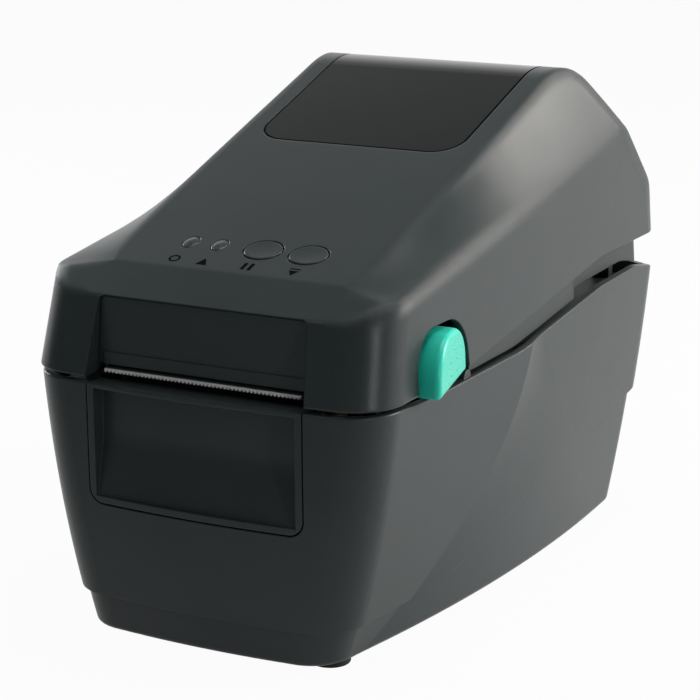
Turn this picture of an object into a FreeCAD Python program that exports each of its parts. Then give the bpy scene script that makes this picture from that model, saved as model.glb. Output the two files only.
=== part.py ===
import FreeCAD, Part
import math
import os

# Desktop label printer with a clamshell cover. Millimetres, +Z up, front faces -Y.
# The origin lies on the floor under the middle of the case.

V = FreeCAD.Vector
X_AXIS = V(1, 0, 0)
Y_AXIS = V(0, 1, 0)
Z_AXIS = V(0, 0, 1)

# Overall size
BODY_W = 115.0
BODY_D = 221.0
BODY_H = 151.0
HALF_W = BODY_W / 2
FRONT_Y = -BODY_D / 2
REAR_Y = BODY_D / 2

# Walls and fits
COVER_WALL = 2.2
BASE_WALL = 2.4
SEAT_GAP = 0.3
PANEL_GAP = 0.5
RUN_CLEARANCE = 0.05
FAR = 200.0

# Base
FOOT_H = 1.6
FOOT_R = 5.9
FOOT_X = HALF_W - 22.5
FOOT_FRONT_Y = FRONT_Y + 17.5
FOOT_REAR_Y = REAR_Y - 44.5
FOOT_SINK = 1.5
FLOOR_T = 4.4
FLOOR_Z = FOOT_H + FLOOR_T
FRONT_BOW = 3.5
BOW_R = 340.0
SIDE_BOW = 0.3
SIDE_BOW_R = 700.0
CORNER_R = 15.0
TRAY_STEP = 1.6
TRAY_TONGUE = 4.0
TRAY_WALL = 2.7
BASE_LOFT_TOP = 86.0
BASE_MID_Z = 37.0
BASE_EDGE_R = 1.5
RIM_R = 0.5
BASE_DIP_Z = 75.0
STUD_R = 2.3
STUD_T = 1.8

# Cover
HINGE_Y = REAR_Y - 9.0
HINGE_Z = 89.0
COVER_FOOT_Z = 66.0
COVER_TOP_Z = BODY_H + 4.0
FRONT_RAKE = 0.2545
SIDE_DRAFT = 0.07
COVER_EDGE_Z = 77.8
TOP_FRONT_Y = FRONT_Y + 22.2
TOP_FRONT_Z = 107.6
RIDGE_Y = REAR_Y - 67.3
TOP_SLOPE = (BODY_H - TOP_FRONT_Z) / (RIDGE_Y - TOP_FRONT_Y)
CHAMFER_SLOPE = 0.49
RIDGE_R = 36.0
RIDGE_END_Y = REAR_Y - 52.5
RIDGE_END_R = 18.0
REAR_KNEE_Z = HINGE_Z + 6.0
REAR_KNEE_R = 45.0
TOP_HALF_W = HALF_W - 15.5
RIM_SPAN_MAX = 1.9 * TOP_HALF_W + 10
COVER_EDGE_R = 2.0
BEVEL_DROP = 0.6
CREASE_SHY = 2.128
CREASE_Z = 102.5
CREASE_REAR_Z = BODY_H - 19.8
CREASE_SLOPE = (CREASE_REAR_Z - CREASE_Z) / BODY_D
TOP_TILT = math.degrees(math.atan(TOP_SLOPE))

# Window in the cover
WINDOW_HALF_W = HALF_W - 23.5
WINDOW_FRONT_Y = FRONT_Y + 97.7
WINDOW_REAR_Y = REAR_Y - 22.5
WINDOW_CORNER_R = 9.0
WINDOW_T = 1.4
WINDOW_LEDGE = 2.5
WINDOW_GAP = 0.7
LEDGE_T = 1.6

# Front recess, head panel and tear bar
RECESS_TOP_Z = 100.6
RECESS_TOP_HALF_W = HALF_W - 24.1
RECESS_LOW_HALF_W = HALF_W - 22.3
RECESS_Y = FRONT_Y + 8.9
CHEEK_T = 2.0
HEAD_PANEL_T = 2.0
HEAD_PANEL_LOW_Z = 80.6
TEAR_HALF_W = HALF_W - 25.8
TEAR_EDGE_Y = FRONT_Y + 6.5
TEAR_EDGE_Z = 78.7
TEAR_BLADE_L = 4.2
TEAR_BLADE_FALL = 16.0
TEAR_T = 0.6
TEAR_PITCH = 1.2
TEAR_TOOTH_H = 0.8

# Buttons and lamps on the sloping top face
BUTTON_Y = TOP_FRONT_Y + 13.1
BUTTON_X = (4.3, 18.9)
BUTTON_HALF_X = 5.9
BUTTON_HALF_Y = 5.2
BUTTON_GAP = 0.35
BUTTON_PROUD = 0.35
BUTTON_TRAVEL = 1.0
BUTTON_FLANGE = 1.2
LAMP_X = (-19.6, -10.1)
LAMP_HALF_X = 2.4
LAMP_HALF_Y = 3.1
LAMP_GAP = 0.2
LAMP_PROUD = 0.2
BOARD_T = 1.6
BUTTON_BOARD_DEPTH = 7.0
BUTTON_BOARD_SHY = 4.1
BUTTON_BOARD_HALF_Y = 9.0
BOARD_POST_SHY = 2.1
BOARD_POST_Y = 6.5

# Front panel in the base
PANEL_HALF_W = HALF_W - 23.1
PANEL_LOW_Z = 41.2
PANEL_TOP_Z = 76.3
PANEL_CORNER_R = 4.4
PANEL_RIM = 2.0
SCOOP_Y = FRONT_Y + 6.9
SCOOP_BACK_T = 2.0
SCOOP_LEDGE = 3.2

# Drive and print line
FRAME_X = HALF_W - 22.9
FRAME_T = 1.4
FRAME_TOP_Z = 76.4
PLATEN_Y = FRONT_Y + 18.5
PLATEN_R = 7.0
PLATEN_Z = 69.5
PLATEN_HALF_L = FRAME_X - 3.6
SHAFT_R = 3.0
BEARING_R = 5.5
HEAD_GAP = 0.3
GEAR_M = 0.8
PLATEN_TEETH = 24
IDLER_TEETH = 40
PINION_TEETH = 14
GEAR_W = 3.2
GEAR_X = 11.1 - HALF_W
MOTOR_R = 17.5
MOTOR_L = 20.0
MOTOR_SHAFT_R = 1.5
POST_R = 2.0
IDLER_TURN = -60.0
MOTOR_TURN = -53.0
PATH_Z = 72.0
PATH_T = 1.5
PATH_FRONT_Y = PLATEN_Y + 9.0
SENSOR_Y = PLATEN_Y + 26.0
SENSOR_HALF_Y = 3.6
SENSOR_TRAVEL = 16.0

# Latch
LATCH_Y = PLATEN_Y + 20.0
LATCH_Z = 89.5
LATCH_SHAFT_R = 2.5
TAB_FRONT_Y = LATCH_Y - 9.2
TAB_REAR_Y = LATCH_Y + 19.6
TAB_TOP_Z = 93.0
TAB_LOW_Z = 76.4
TAB_PROUD = 5.6
TAB_GAP_FRONT = 2.2
TAB_GAP_TOP = 1.9
TAB_GAP_REAR = 2.9
HOOK_X = FRAME_X + 4.4
HOOK_T = 3.0
CATCH_Y = LATCH_Y + 1.0
CATCH_Z = 68.0
CATCH_R = 2.0
CATCH_L = 6.6
CATCH_GAP = 0.4
HOOK_ARM = 4.6
HOOK_TOE = 3.2
HOOK_BITE = 1.4
HOOK_EYE_R = 5.5
TAB_ARCH_R = 12.0
TAB_LEAN = 2.5
TAB_ROOT_X = HALF_W - 11.5
TAB_EDGE_R = 1.6
LATCH_WIRE_R = 0.3

# Print head, hung in the cover over the platen
HEAD_HALF_L = FRAME_X - 2.6
HEAD_FRONT_Y = PLATEN_Y - 6.0
HEAD_REAR_Y = PLATEN_Y + 14.0
HEAD_T = 1.2
SINK_H = 7.0
FIN_COUNT = 5
BRACKET_T = 1.2
PIVOT_Y = PLATEN_Y + 27.5
PIVOT_R = 1.5
HEAD_FRAME_X = FRAME_X + FRAME_T
HEAD_FRAME_T = 1.2
HEAD_FRAME_FRONT_Y = PLATEN_Y - 5.0
HEAD_FRAME_REAR_Y = PLATEN_Y + 33.0
HEAD_FRAME_TOP_Z = 98.4
BOSS_X = FRAME_X - 2.0
BOSS_R = 3.5
SPRING_X = 20.0
SPRING_Y = PLATEN_Y + 4.0
SPRING_R = 3.6
WIRE_R = 0.4
SPRING_TURNS = 6
BUTTON_BOARD_HALF_X = BOSS_X - BUTTON_BOARD_SHY
BOARD_POST_X = BUTTON_BOARD_HALF_X - BOARD_POST_SHY

# Hinge at the rear
KNUCKLE_R = 4.0
HINGE_PIN_R = 2.0
KNUCKLE_X = HALF_W - 21.5
KNUCKLE_W = 6.0
EAR_W = 4.2

# Liner of the cover
LINER_T = 1.8
LINER_INSET = 2.5
LINER_DEEP_INSET = 6.0
LINER_FRONT_Y = FRONT_Y + 64.5
LINER_RISE = 7.0
LINER_LIFT = 0.9
LINER_CORNER_X = HALF_W - 9.5

# Rear connector panel
PORT_Z0 = 43.0
PORT_Z1 = 69.0
PORT_Y = REAR_Y - 12.1
PORT_T = 1.6
PORT_DEPTH = 11.2
SWITCH_X = HALF_W - 21.5
INLET_X = SWITCH_X - 16.0
DATA_X = INLET_X - 15.0
PORT_X0 = DATA_X - 11.0
PORT_X1 = SWITCH_X + 10.0
PORT_MID_Z = 56.0
ROCKER_TILT = 7.0

# Boards
MAIN_BOARD_X = HALF_W - 17.5
MAIN_BOARD_FRONT_Y = FRONT_Y + 72.5
MAIN_BOARD_REAR_Y = REAR_Y - 42.5
MAIN_BOARD_Z0 = 13.0
MAIN_BOARD_Z1 = 69.0
SCREW_X = HALF_W - 33.5
SCREW_FRONT_Y = PLATEN_Y + 2.0
SCREW_REAR_Y = REAR_Y - 42.5
SCREW_R = 1.5
SCREW_HEAD_R = 3.0

# Media bay
BAY_FRONT_Y = FRONT_Y + 72.5
BAY_REAR_Y = REAR_Y - 24.5
WELL_R = (BAY_REAR_Y - BAY_FRONT_Y) / 2
WELL_T = 1.8
ROLL_Y = (BAY_REAR_Y + BAY_FRONT_Y) / 2
ROLL_Z = FLOOR_Z + 9.0 + WELL_R
LINER_STEP_Y = ROLL_Y + 8.0
WELL_HALF_W = HALF_W - 24.8
DECK_Z = 71.5
DECK_T = 1.5
GUIDE_X = WELL_HALF_W - 1.1
GUIDE_T = 2.4
GUIDE_R = 26.0
GUIDE_HUB_R = 6.0
GUIDE_HUB_L = 4.0
GUIDE_LEG_HALF_Y = 7.8
RACK_M = 0.5
RACK_TEETH = 20
RACK_Z = 8.0
RACK_H = 3.0
RACK_BACK = 2.2
RACK_REACH = GUIDE_X - 17.6


def box(x0, x1, y0, y1, z0, z1):
    return Part.makeBox(x1 - x0, y1 - y0, z1 - z0, V(x0, y0, z0))


def rod(axis, start, radius, length):
    return Part.makeCylinder(radius, length, start, axis)


def mirrored(shape):
    return shape.mirror(V(0, 0, 0), X_AXIS)


def both_sides(shape):
    return Part.makeCompound([shape, mirrored(shape)])


def joined(first, *others):
    return first.fuse(list(others)).removeSplitter()


def corner_cut(before, corner, after, radius):
    """Tangent points and middle of the arc that rounds one corner."""
    to_before = (before - corner).normalize()
    to_after = (after - corner).normalize()
    half = to_before.getAngle(to_after) / 2
    reach = radius / math.tan(half)
    inward = (to_before + to_after).normalize()
    middle = corner + inward * (radius / math.sin(half) - radius)
    return corner + to_before * reach, middle, corner + to_after * reach


def outline(corners, place):
    """Closed wire through corners (u, v, radius), each rounded by its radius."""
    points = [place(c[0], c[1]) for c in corners]
    count = len(points)
    stops = []
    for i in range(count):
        radius = corners[i][2]
        if radius > 0:
            stops.append(corner_cut(points[i - 1], points[i], points[(i + 1) % count], radius))
        else:
            stops.append((points[i], None, points[i]))
    edges = []
    for i in range(count):
        enter, middle, leave = stops[i]
        if middle is not None:
            edges.append(Part.Arc(enter, middle, leave).toShape())
        following = stops[(i + 1) % count][0]
        if (following - leave).Length > 1e-6:
            edges.append(Part.makeLine(leave, following))
    return Part.Wire(edges)


def shrunk(corners, inset):
    """The same corners moved inwards by inset, for an outline that runs anticlockwise."""
    count = len(corners)
    result = []
    for i in range(count):
        before = V(corners[i - 1][0], corners[i - 1][1], 0)
        here = V(corners[i][0], corners[i][1], 0)
        after = V(corners[(i + 1) % count][0], corners[(i + 1) % count][1], 0)
        normal_in = Z_AXIS.cross((here - before).normalize())
        normal_out = Z_AXIS.cross((after - here).normalize())
        bisector = (normal_in + normal_out).normalize()
        moved = here + bisector * (inset / bisector.dot(normal_in))
        radius = max(corners[i][2] - inset, 0.2) if corners[i][2] > 0 else 0.0
        result.append((moved.x, moved.y, radius))
    return result


def prism_x(corners, x0, x1):
    wire = outline(corners, lambda u, v: V(x0, u, v))
    return Part.Face(wire).extrude(V(x1 - x0, 0, 0))


def prism_y(corners, y0, y1):
    wire = outline(corners, lambda u, v: V(u, y0, v))
    return Part.Face(wire).extrude(V(0, y1 - y0, 0))


def prism_z(corners, z0, z1):
    wire = outline(corners, lambda u, v: V(u, v, z0))
    return Part.Face(wire).extrude(V(0, 0, z1 - z0))


def bow_radius(radius, room, turn):
    """Radius of a bowed edge, limited by the room that the corner beside it leaves."""
    return min(radius, room / math.tan(turn / 2))


def plan(half_front, half_mid, half_rear, front_y, rear_y):
    """Corners of a horizontal section: bowed front, bowed sides, rounded corners."""
    mid_y = (front_y + rear_y) / 2
    corner_y = front_y + FRONT_BOW
    front_turn = 2 * math.atan(FRONT_BOW / half_front)
    side_turn = math.atan((half_mid - half_front) / (mid_y - corner_y))
    side_turn += math.atan((half_mid - half_rear) / (rear_y - mid_y))
    front_r = bow_radius(BOW_R, half_front - CORNER_R, front_turn)
    side_r = bow_radius(SIDE_BOW_R, mid_y - corner_y - CORNER_R, side_turn)
    return [
        (0, front_y, front_r),
        (half_front, corner_y, CORNER_R),
        (half_mid, mid_y, side_r),
        (half_rear, rear_y, CORNER_R),
        (-half_rear, rear_y, CORNER_R),
        (-half_mid, mid_y, side_r),
        (-half_front, corner_y, CORNER_R),
    ]


def section(corners, inset, z):
    return outline(shrunk(corners, inset), lambda u, v: V(u, v, z))


BASE_PLANS = [
    (FOOT_H, plan(HALF_W - 16.9, HALF_W + 1.7, HALF_W - 3.1, FRONT_Y + 1.5, REAR_Y - 26.5)),
    (BASE_MID_Z, plan(HALF_W - 7.0, HALF_W - 0.1, HALF_W - 2.9, FRONT_Y + 0.4, REAR_Y - 8.0)),
    (BASE_LOFT_TOP, plan(HALF_W, HALF_W + SIDE_BOW, HALF_W, FRONT_Y, REAR_Y)),
]


def base_form(inset):
    """Outer form of the base, moved inwards by inset; its flat foot stays at the same height."""
    wires = [section(corners, inset, z) for z, corners in BASE_PLANS]
    return Part.makeLoft(wires, True, False)


COVER_LOW_PLAN = plan(
    HALF_W + SIDE_DRAFT * (COVER_EDGE_Z - COVER_FOOT_Z),
    HALF_W + SIDE_DRAFT * (COVER_EDGE_Z - COVER_FOOT_Z) + SIDE_BOW,
    HALF_W + SIDE_DRAFT * (COVER_EDGE_Z - COVER_FOOT_Z),
    FRONT_Y - FRONT_RAKE * (COVER_EDGE_Z - COVER_FOOT_Z),
    REAR_Y,
)
COVER_HIGH_PLAN = plan(
    HALF_W - SIDE_DRAFT * (COVER_TOP_Z - COVER_EDGE_Z),
    HALF_W - SIDE_DRAFT * (COVER_TOP_Z - COVER_EDGE_Z) + SIDE_BOW,
    HALF_W - SIDE_DRAFT * (COVER_TOP_Z - COVER_EDGE_Z),
    FRONT_Y + FRONT_RAKE * (COVER_TOP_Z - COVER_EDGE_Z),
    REAR_Y,
)


def top_z(y):
    return TOP_FRONT_Z + TOP_SLOPE * (y - TOP_FRONT_Y)


NOSE_Y = FRONT_Y - 15.0
COVER_PROFILE = [
    (NOSE_Y, COVER_FOOT_Z - 10, 0),
    (REAR_Y, COVER_FOOT_Z - 10, 0),
    (REAR_Y, REAR_KNEE_Z, REAR_KNEE_R),
    (RIDGE_END_Y, BODY_H, RIDGE_END_R),
    (RIDGE_Y, BODY_H, RIDGE_R),
    (TOP_FRONT_Y, TOP_FRONT_Z, 14.0),
    (NOSE_Y, TOP_FRONT_Z + CHAMFER_SLOPE * (NOSE_Y - TOP_FRONT_Y), 0),
]


def cover_column(inset):
    wires = [section(COVER_LOW_PLAN, inset, COVER_FOOT_Z), section(COVER_HIGH_PLAN, inset, COVER_TOP_Z)]
    return Part.makeLoft(wires, True, True)


def cover_slice(inset):
    return prism_x(shrunk(COVER_PROFILE, inset), -FAR / 2, FAR / 2)


def bevel_section(y, inset):
    """Section of what the right bevel takes off, at one depth."""
    edge_x = TOP_HALF_W - inset / 2
    crease_x = HALF_W - CREASE_SHY - inset / 2
    crease_z = CREASE_Z + CREASE_SLOPE * (y - FRONT_Y) - inset
    edge_z = max(top_z(y) - BEVEL_DROP - inset, crease_z + BEVEL_DROP)
    lean = (edge_z - crease_z) / (crease_x - edge_x)
    out_x = HALF_W + 20
    corners = [
        V(edge_x - 10, y, edge_z + 10 * lean),
        V(out_x, y, edge_z - (out_x - edge_x) * lean),
        V(out_x, y, BODY_H + 60),
        V(edge_x - 10, y, BODY_H + 60),
    ]
    return Part.makePolygon(corners + [corners[0]])


def bevel(inset):
    depths = (NOSE_Y, TOP_FRONT_Y, REAR_Y + 10)
    return both_sides(Part.makeLoft([bevel_section(y, inset) for y in depths], True, True))


def cover_form(inset):
    return cover_column(inset).common(cover_slice(inset)).cut(bevel(inset))


def middle(edge):
    return edge.valueAt((edge.FirstParameter + edge.LastParameter) / 2)


def on_top_border(edge):
    """True for the long edges between the sloping top and the side bevels."""
    point = middle(edge)
    beside = TOP_HALF_W - 4 < abs(point.x) < HALF_W - 4
    return beside and point.z > TOP_FRONT_Z + 4 and TOP_FRONT_Y + 8 < point.y < WINDOW_REAR_Y + 2 and edge.Length > 3


def on_brow(edge):
    """True for the edges between the raked front face and the chamfer above it."""
    point = middle(edge)
    return point.y < RECESS_Y + 4 and point.z > RECESS_TOP_Z - 1 and edge.Length > 10


def on_cover_rim(edge):
    """True for the outer edges along the underside of the cover."""
    return edge.BoundBox.ZMax < HINGE_Z + 3 and edge.BoundBox.XLength < RIM_SPAN_MAX


def on_base_rim(edge):
    """True for the outer edges round the open top of the base."""
    return edge.BoundBox.ZMin > PLATEN_Z and edge.BoundBox.XLength < RIM_SPAN_MAX


def eased(form, chosen, radius):
    return form.makeFillet(radius, [edge for edge in form.Edges if chosen(edge)])


def below(edge):
    """Everything under a line (y, z, radius) that runs from front to rear."""
    return prism_x([(-FAR, -10, 0), (FAR, -10, 0)] + list(reversed(edge)), -FAR / 2, FAR / 2)


def raised(edge, rise):
    return [(y, z + rise, radius) for y, z, radius in edge]


COVER_EDGE = [
    (-FAR, COVER_EDGE_Z, 0),
    (FRONT_Y + 52.5, COVER_EDGE_Z, 80.0),
    (REAR_Y - 58.5, HINGE_Z + 1.6, 60.0),
    (FAR, HINGE_Z + 1.0, 0),
]
BASE_EDGE = [
    (-FAR, 76.4, 0),
    (FRONT_Y + 16.5, 76.4, 30.0),
    (FRONT_Y + 36.5, BASE_DIP_Z, 60.0),
    (FRONT_Y + 96.5, BASE_DIP_Z, 80.0),
    (REAR_Y - 58.5, 81.4, 50.0),
    (REAR_Y - 26.5, 81.8, 25.0),
    (REAR_Y - 4.5, 77.5, 10.0),
    (FAR, 77.0, 0),
]
SEAM = [(-FAR, 12.6, 0), (FRONT_Y + 53.5, 12.6, 40.0), (REAR_Y - 94.5, 31.4, 60.0), (REAR_Y + 89.5, 46.0, 0)]


def save(name, shape):
    shape.exportStep("parts/" + name + ".step")


def window_column(grow):
    corners = [
        (-WINDOW_HALF_W, WINDOW_FRONT_Y, WINDOW_CORNER_R),
        (WINDOW_HALF_W, WINDOW_FRONT_Y, WINDOW_CORNER_R),
        (WINDOW_HALF_W, WINDOW_REAR_Y, WINDOW_CORNER_R),
        (-WINDOW_HALF_W, WINDOW_REAR_Y, WINDOW_CORNER_R),
    ]
    return prism_z(shrunk(corners, -grow), COVER_EDGE_Z + 20, BODY_H + 20)


def recess(grow, rear_y):
    """The front recess that opens downwards, grown sideways and upwards, back to rear_y."""
    corners = [
        (-RECESS_LOW_HALF_W, COVER_FOOT_Z, 0),
        (RECESS_LOW_HALF_W, COVER_FOOT_Z, 0),
        (RECESS_LOW_HALF_W, COVER_EDGE_Z, 0),
        (RECESS_TOP_HALF_W, RECESS_TOP_Z, 2.0),
        (-RECESS_TOP_HALF_W, RECESS_TOP_Z, 2.0),
        (-RECESS_LOW_HALF_W, COVER_EDGE_Z, 0),
    ]
    return prism_y(shrunk(corners, -grow), NOSE_Y, rear_y)


def on_top(shape, x, y):
    """Sets a shape drawn about the origin on the sloping top face."""
    turned = shape.copy()
    turned.rotate(V(0, 0, 0), X_AXIS, TOP_TILT)
    turned.translate(V(x, y, top_z(y)))
    return turned


def oval(half_x, half_y, z0, z1):
    """Elliptic prism about Z."""
    edge = Part.Ellipse(V(0, 0, z0), max(half_x, half_y), min(half_x, half_y)).toShape()
    prism = Part.Face(Part.Wire([edge])).extrude(V(0, 0, z1 - z0))
    if half_y > half_x:
        prism.rotate(V(0, 0, 0), Z_AXIS, 90)
    return prism


def arch(front, rear, low, top):
    """Side view of a latch tab or of its opening."""
    return [(front, low, 0), (rear, low, 0), (rear - TAB_LEAN, top, TAB_ARCH_R), (front, top, TAB_ARCH_R)]


def gear(teeth, module, phase, width, bore):
    """Spur gear about the Z axis with a tooth that points along phase (radians)."""
    pitch_r = teeth * module / 2
    tip_r = pitch_r + 0.8 * module
    root_r = pitch_r - 1.2 * module
    tip_half = 0.3 * module / tip_r
    root_half = 1.0 * module / root_r
    points = []
    for i in range(teeth):
        middle = phase + 2 * math.pi * i / teeth
        for radius, turn in ((root_r, -root_half), (tip_r, -tip_half), (tip_r, tip_half), (root_r, root_half)):
            points.append(V(radius * math.cos(middle + turn), radius * math.sin(middle + turn), 0))
    body = Part.Face(Part.makePolygon(points + [points[0]])).extrude(V(0, 0, width))
    return body.cut(rod(Z_AXIS, V(0, 0, -1), bore, width + 2))


def along_x(shape, x, y, z):
    """Turns a shape about Z into one about X: its X becomes Y and its Y becomes Z."""
    turned = shape.copy()
    turned.rotate(V(0, 0, 0), V(1, 1, 1), 120)
    turned.translate(V(x, y, z))
    return turned


def meshed(phase, teeth, direction, other_teeth):
    """Phase of the gear that meshes with one of the given phase, in the given direction."""
    ahead = phase - direction
    return direction + math.pi - ahead * teeth / other_teeth + math.pi / other_teeth


def coil_points(radius, turns, height, per_turn):
    count = turns * per_turn
    points = []
    for i in range(count + 1):
        turn = 2 * math.pi * i / per_turn
        points.append(V(radius * math.cos(turn), radius * math.sin(turn), height * i / count))
    return points


def coil(name, radius, wire_r, turns, height):
    """A coil spring about Z as one tube along quarter-turn arcs."""
    points = coil_points(radius, turns, height, 8)
    arcs = [Part.Arc(points[i], points[i + 1], points[i + 2]).toShape() for i in range(0, len(points) - 1, 2)]
    path = Part.Wire(arcs)
    ring = Part.Wire([Part.Circle(points[0], points[1] - points[0], wire_r).toShape()])
    nearest = min((a - b).Length for i, a in enumerate(points) for b in points[i + 5:])
    print(name, "least gap between turns", round(nearest - 2 * wire_r, 2))
    return path.makePipeShell([ring], True, False)


os.makedirs("parts", exist_ok=True)

# Cover shell: hollow form, window seat, front recess, latch openings, button and lamp holes
cover_outer = eased(cover_form(0), on_brow, COVER_EDGE_R)
cover_outer = eased(cover_outer, on_top_border, COVER_EDGE_R)
cover_outer = eased(cover_outer.cut(below(COVER_EDGE)), on_cover_rim, RIM_R)
cover_hollow = cover_form(COVER_WALL)
ledge_depth = WINDOW_T + SEAT_GAP
ledge = cover_slice(ledge_depth).cut(cover_slice(ledge_depth + LEDGE_T))
ledge = ledge.common(window_column(WINDOW_LEDGE))
cheeks = recess(CHEEK_T, RECESS_Y + HEAD_PANEL_T + 1).cut(recess(0, RECESS_Y + FAR))
cheeks = cheeks.common(cover_outer)
bosses = []
for x in (-BOSS_X, BOSS_X):
    for y in (HEAD_FRAME_FRONT_Y + 5, HEAD_FRAME_REAR_Y - 5):
        post = rod(Z_AXIS, V(x, y, HEAD_FRAME_TOP_Z), BOSS_R, FAR)
        bosses.append(post.common(cover_form(COVER_WALL / 2)))
for x in (-BOARD_POST_X, BOARD_POST_X):
    for y in (-BOARD_POST_Y, BOARD_POST_Y):
        post = rod(Z_AXIS, V(x, y, -BUTTON_BOARD_DEPTH), 1.6, BUTTON_BOARD_DEPTH - COVER_WALL / 2)
        bosses.append(on_top(post, 0, BUTTON_Y))
cover_shell = cover_outer.cut(cover_hollow).fuse([cheeks, ledge] + bosses)
openings = [below(COVER_EDGE), recess(0, RECESS_Y + HEAD_PANEL_T + 3)]
openings.append(window_column(WINDOW_GAP).cut(cover_slice(ledge_depth)))
openings.append(window_column(-WINDOW_LEDGE))
tab_opening = arch(TAB_FRONT_Y - TAB_GAP_FRONT, TAB_REAR_Y + TAB_GAP_REAR, COVER_FOOT_Z, TAB_TOP_Z + TAB_GAP_TOP)
openings.append(both_sides(prism_x(tab_opening, TAB_ROOT_X, FAR / 2)))
for x in BUTTON_X:
    openings.append(on_top(oval(BUTTON_HALF_X + BUTTON_GAP, BUTTON_HALF_Y + BUTTON_GAP, -4, 4), x, BUTTON_Y))
for x in LAMP_X:
    openings.append(on_top(oval(LAMP_HALF_X + LAMP_GAP, LAMP_HALF_Y + LAMP_GAP, -4, 4), x, BUTTON_Y))
for cutter in openings:
    cover_shell = cover_shell.cut(cutter)
save("cover_shell", cover_shell)

save("cover_window", cover_slice(0).cut(cover_slice(WINDOW_T)).common(window_column(0)))

# Liner: a skirt inside the cover that shows in the wedge above the base, deeper towards the rear
skirt_zone = below(raised(COVER_EDGE, LINER_RISE)).cut(below(raised(BASE_EDGE, LINER_LIFT)))
skirt_zone = skirt_zone.common(cover_form(COVER_WALL + SEAT_GAP))
shallow = cover_column(LINER_INSET).cut(cover_column(LINER_INSET + LINER_T))
shallow = shallow.common(box(-FAR, FAR, LINER_FRONT_Y, LINER_STEP_Y + LINER_T, 0, FAR))
deep = cover_column(LINER_DEEP_INSET).cut(cover_column(LINER_DEEP_INSET + LINER_T))
deep = deep.common(box(-FAR, FAR, LINER_STEP_Y, FAR, 0, FAR))
step = cover_column(LINER_INSET).cut(cover_column(LINER_DEEP_INSET + LINER_T))
step = step.common(box(-FAR, FAR, LINER_STEP_Y, LINER_STEP_Y + LINER_T, 0, FAR))
liner = joined(shallow, deep, step).common(skirt_zone)
save("cover_liner", liner.cut(box(-LINER_CORNER_X, LINER_CORNER_X, REAR_Y - CORNER_R, FAR, 0, FAR)))

# Head panel in the recess, and the serrated tear bar under it
panel = recess(-SEAT_GAP, RECESS_Y + HEAD_PANEL_T).common(box(-FAR, FAR, RECESS_Y, FAR, HEAD_PANEL_LOW_Z, FAR))
strip_half = TEAR_HALF_W + 1.0
strip = box(-strip_half, strip_half, RECESS_Y - 0.5, RECESS_Y, HEAD_PANEL_LOW_Z, HEAD_PANEL_LOW_Z + 3.6)
save("head_panel", joined(panel, strip))
points = [V(TEAR_HALF_W, 0, 0), V(-TEAR_HALF_W, 0, 0)]
tooth_count = int(2 * TEAR_HALF_W / TEAR_PITCH)
for i in range(tooth_count + 1):
    x = -TEAR_HALF_W + 2 * TEAR_HALF_W * i / tooth_count
    points.append(V(x, TEAR_TOOTH_H - TEAR_BLADE_L, 0))
    if i < tooth_count:
        points.append(V(x + TEAR_HALF_W / tooth_count, -TEAR_BLADE_L, 0))
blade = Part.Face(Part.makePolygon(points + [points[0]])).extrude(V(0, 0, TEAR_T))
blade.rotate(V(0, 0, 0), X_AXIS, TEAR_BLADE_FALL)
tilt = math.radians(TEAR_BLADE_FALL)
blade.translate(V(0, TEAR_EDGE_Y + TEAR_BLADE_L * math.cos(tilt), TEAR_EDGE_Z + TEAR_BLADE_L * math.sin(tilt)))
save("tear_bar", blade)

# Buttons, lamp lenses and their board
for name, x in zip(("button_pause", "button_feed"), BUTTON_X):
    flange_z = -COVER_WALL - SEAT_GAP
    cap = oval(BUTTON_HALF_X, BUTTON_HALF_Y, flange_z, BUTTON_PROUD)
    rim = oval(BUTTON_HALF_X + 1.2, BUTTON_HALF_Y + 1.2, flange_z - BUTTON_FLANGE, flange_z)
    stem_z = -BUTTON_BOARD_DEPTH + BUTTON_TRAVEL + SEAT_GAP
    stem = rod(Z_AXIS, V(0, 0, stem_z), 2.0, flange_z - stem_z)
    save(name, on_top(joined(cap, rim, stem), x, BUTTON_Y))
for name, x in zip(("lamp_power", "lamp_data"), LAMP_X):
    save(name, on_top(oval(LAMP_HALF_X, LAMP_HALF_Y, -BUTTON_BOARD_DEPTH, LAMP_PROUD), x, BUTTON_Y))
board = box(-BUTTON_BOARD_HALF_X, BUTTON_BOARD_HALF_X, -BUTTON_BOARD_HALF_Y, BUTTON_BOARD_HALF_Y,
            -BUTTON_BOARD_DEPTH - BOARD_T, -BUTTON_BOARD_DEPTH)
save("button_board", on_top(board, 0, BUTTON_Y))

# Latch: two tabs on one shaft, each with a hook that grips a pin of the side frame
tab_corners = [
    (TAB_FRONT_Y, TAB_LOW_Z, 1.5),
    (TAB_REAR_Y, TAB_LOW_Z + 1.6, 1.5),
    (TAB_REAR_Y - TAB_LEAN, TAB_TOP_Z, TAB_ARCH_R),
    (TAB_FRONT_Y, TAB_TOP_Z, TAB_ARCH_R),
]
outer_face = [
    (TAB_ROOT_X, TAB_FRONT_Y - 1, 0),
    (HALF_W + TAB_PROUD, TAB_FRONT_Y - 1, 0),
    (HALF_W - 0.2, TAB_REAR_Y + 1, 0),
    (TAB_ROOT_X, TAB_REAR_Y + 1, 0),
]
tab = prism_x(tab_corners, TAB_ROOT_X, HALF_W + TAB_PROUD + 5).common(prism_z(outer_face, 0, FAR))
rim_edges = [e for e in tab.Edges if e.BoundBox.XMin > HALF_W - 2]
tab = tab.makeFillet(TAB_EDGE_R, rim_edges)
shaft_half = TAB_ROOT_X + 6
tab = tab.cut(rod(X_AXIS, V(-shaft_half, LATCH_Y, LATCH_Z), LATCH_SHAFT_R, 2 * shaft_half))
save("latch_tab_right", tab)
save("latch_tab_left", mirrored(tab))
save("latch_shaft", rod(X_AXIS, V(-shaft_half, LATCH_Y, LATCH_Z), LATCH_SHAFT_R, 2 * shaft_half))
arm_rear = CATCH_Y - CATCH_R - 1.2
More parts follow.
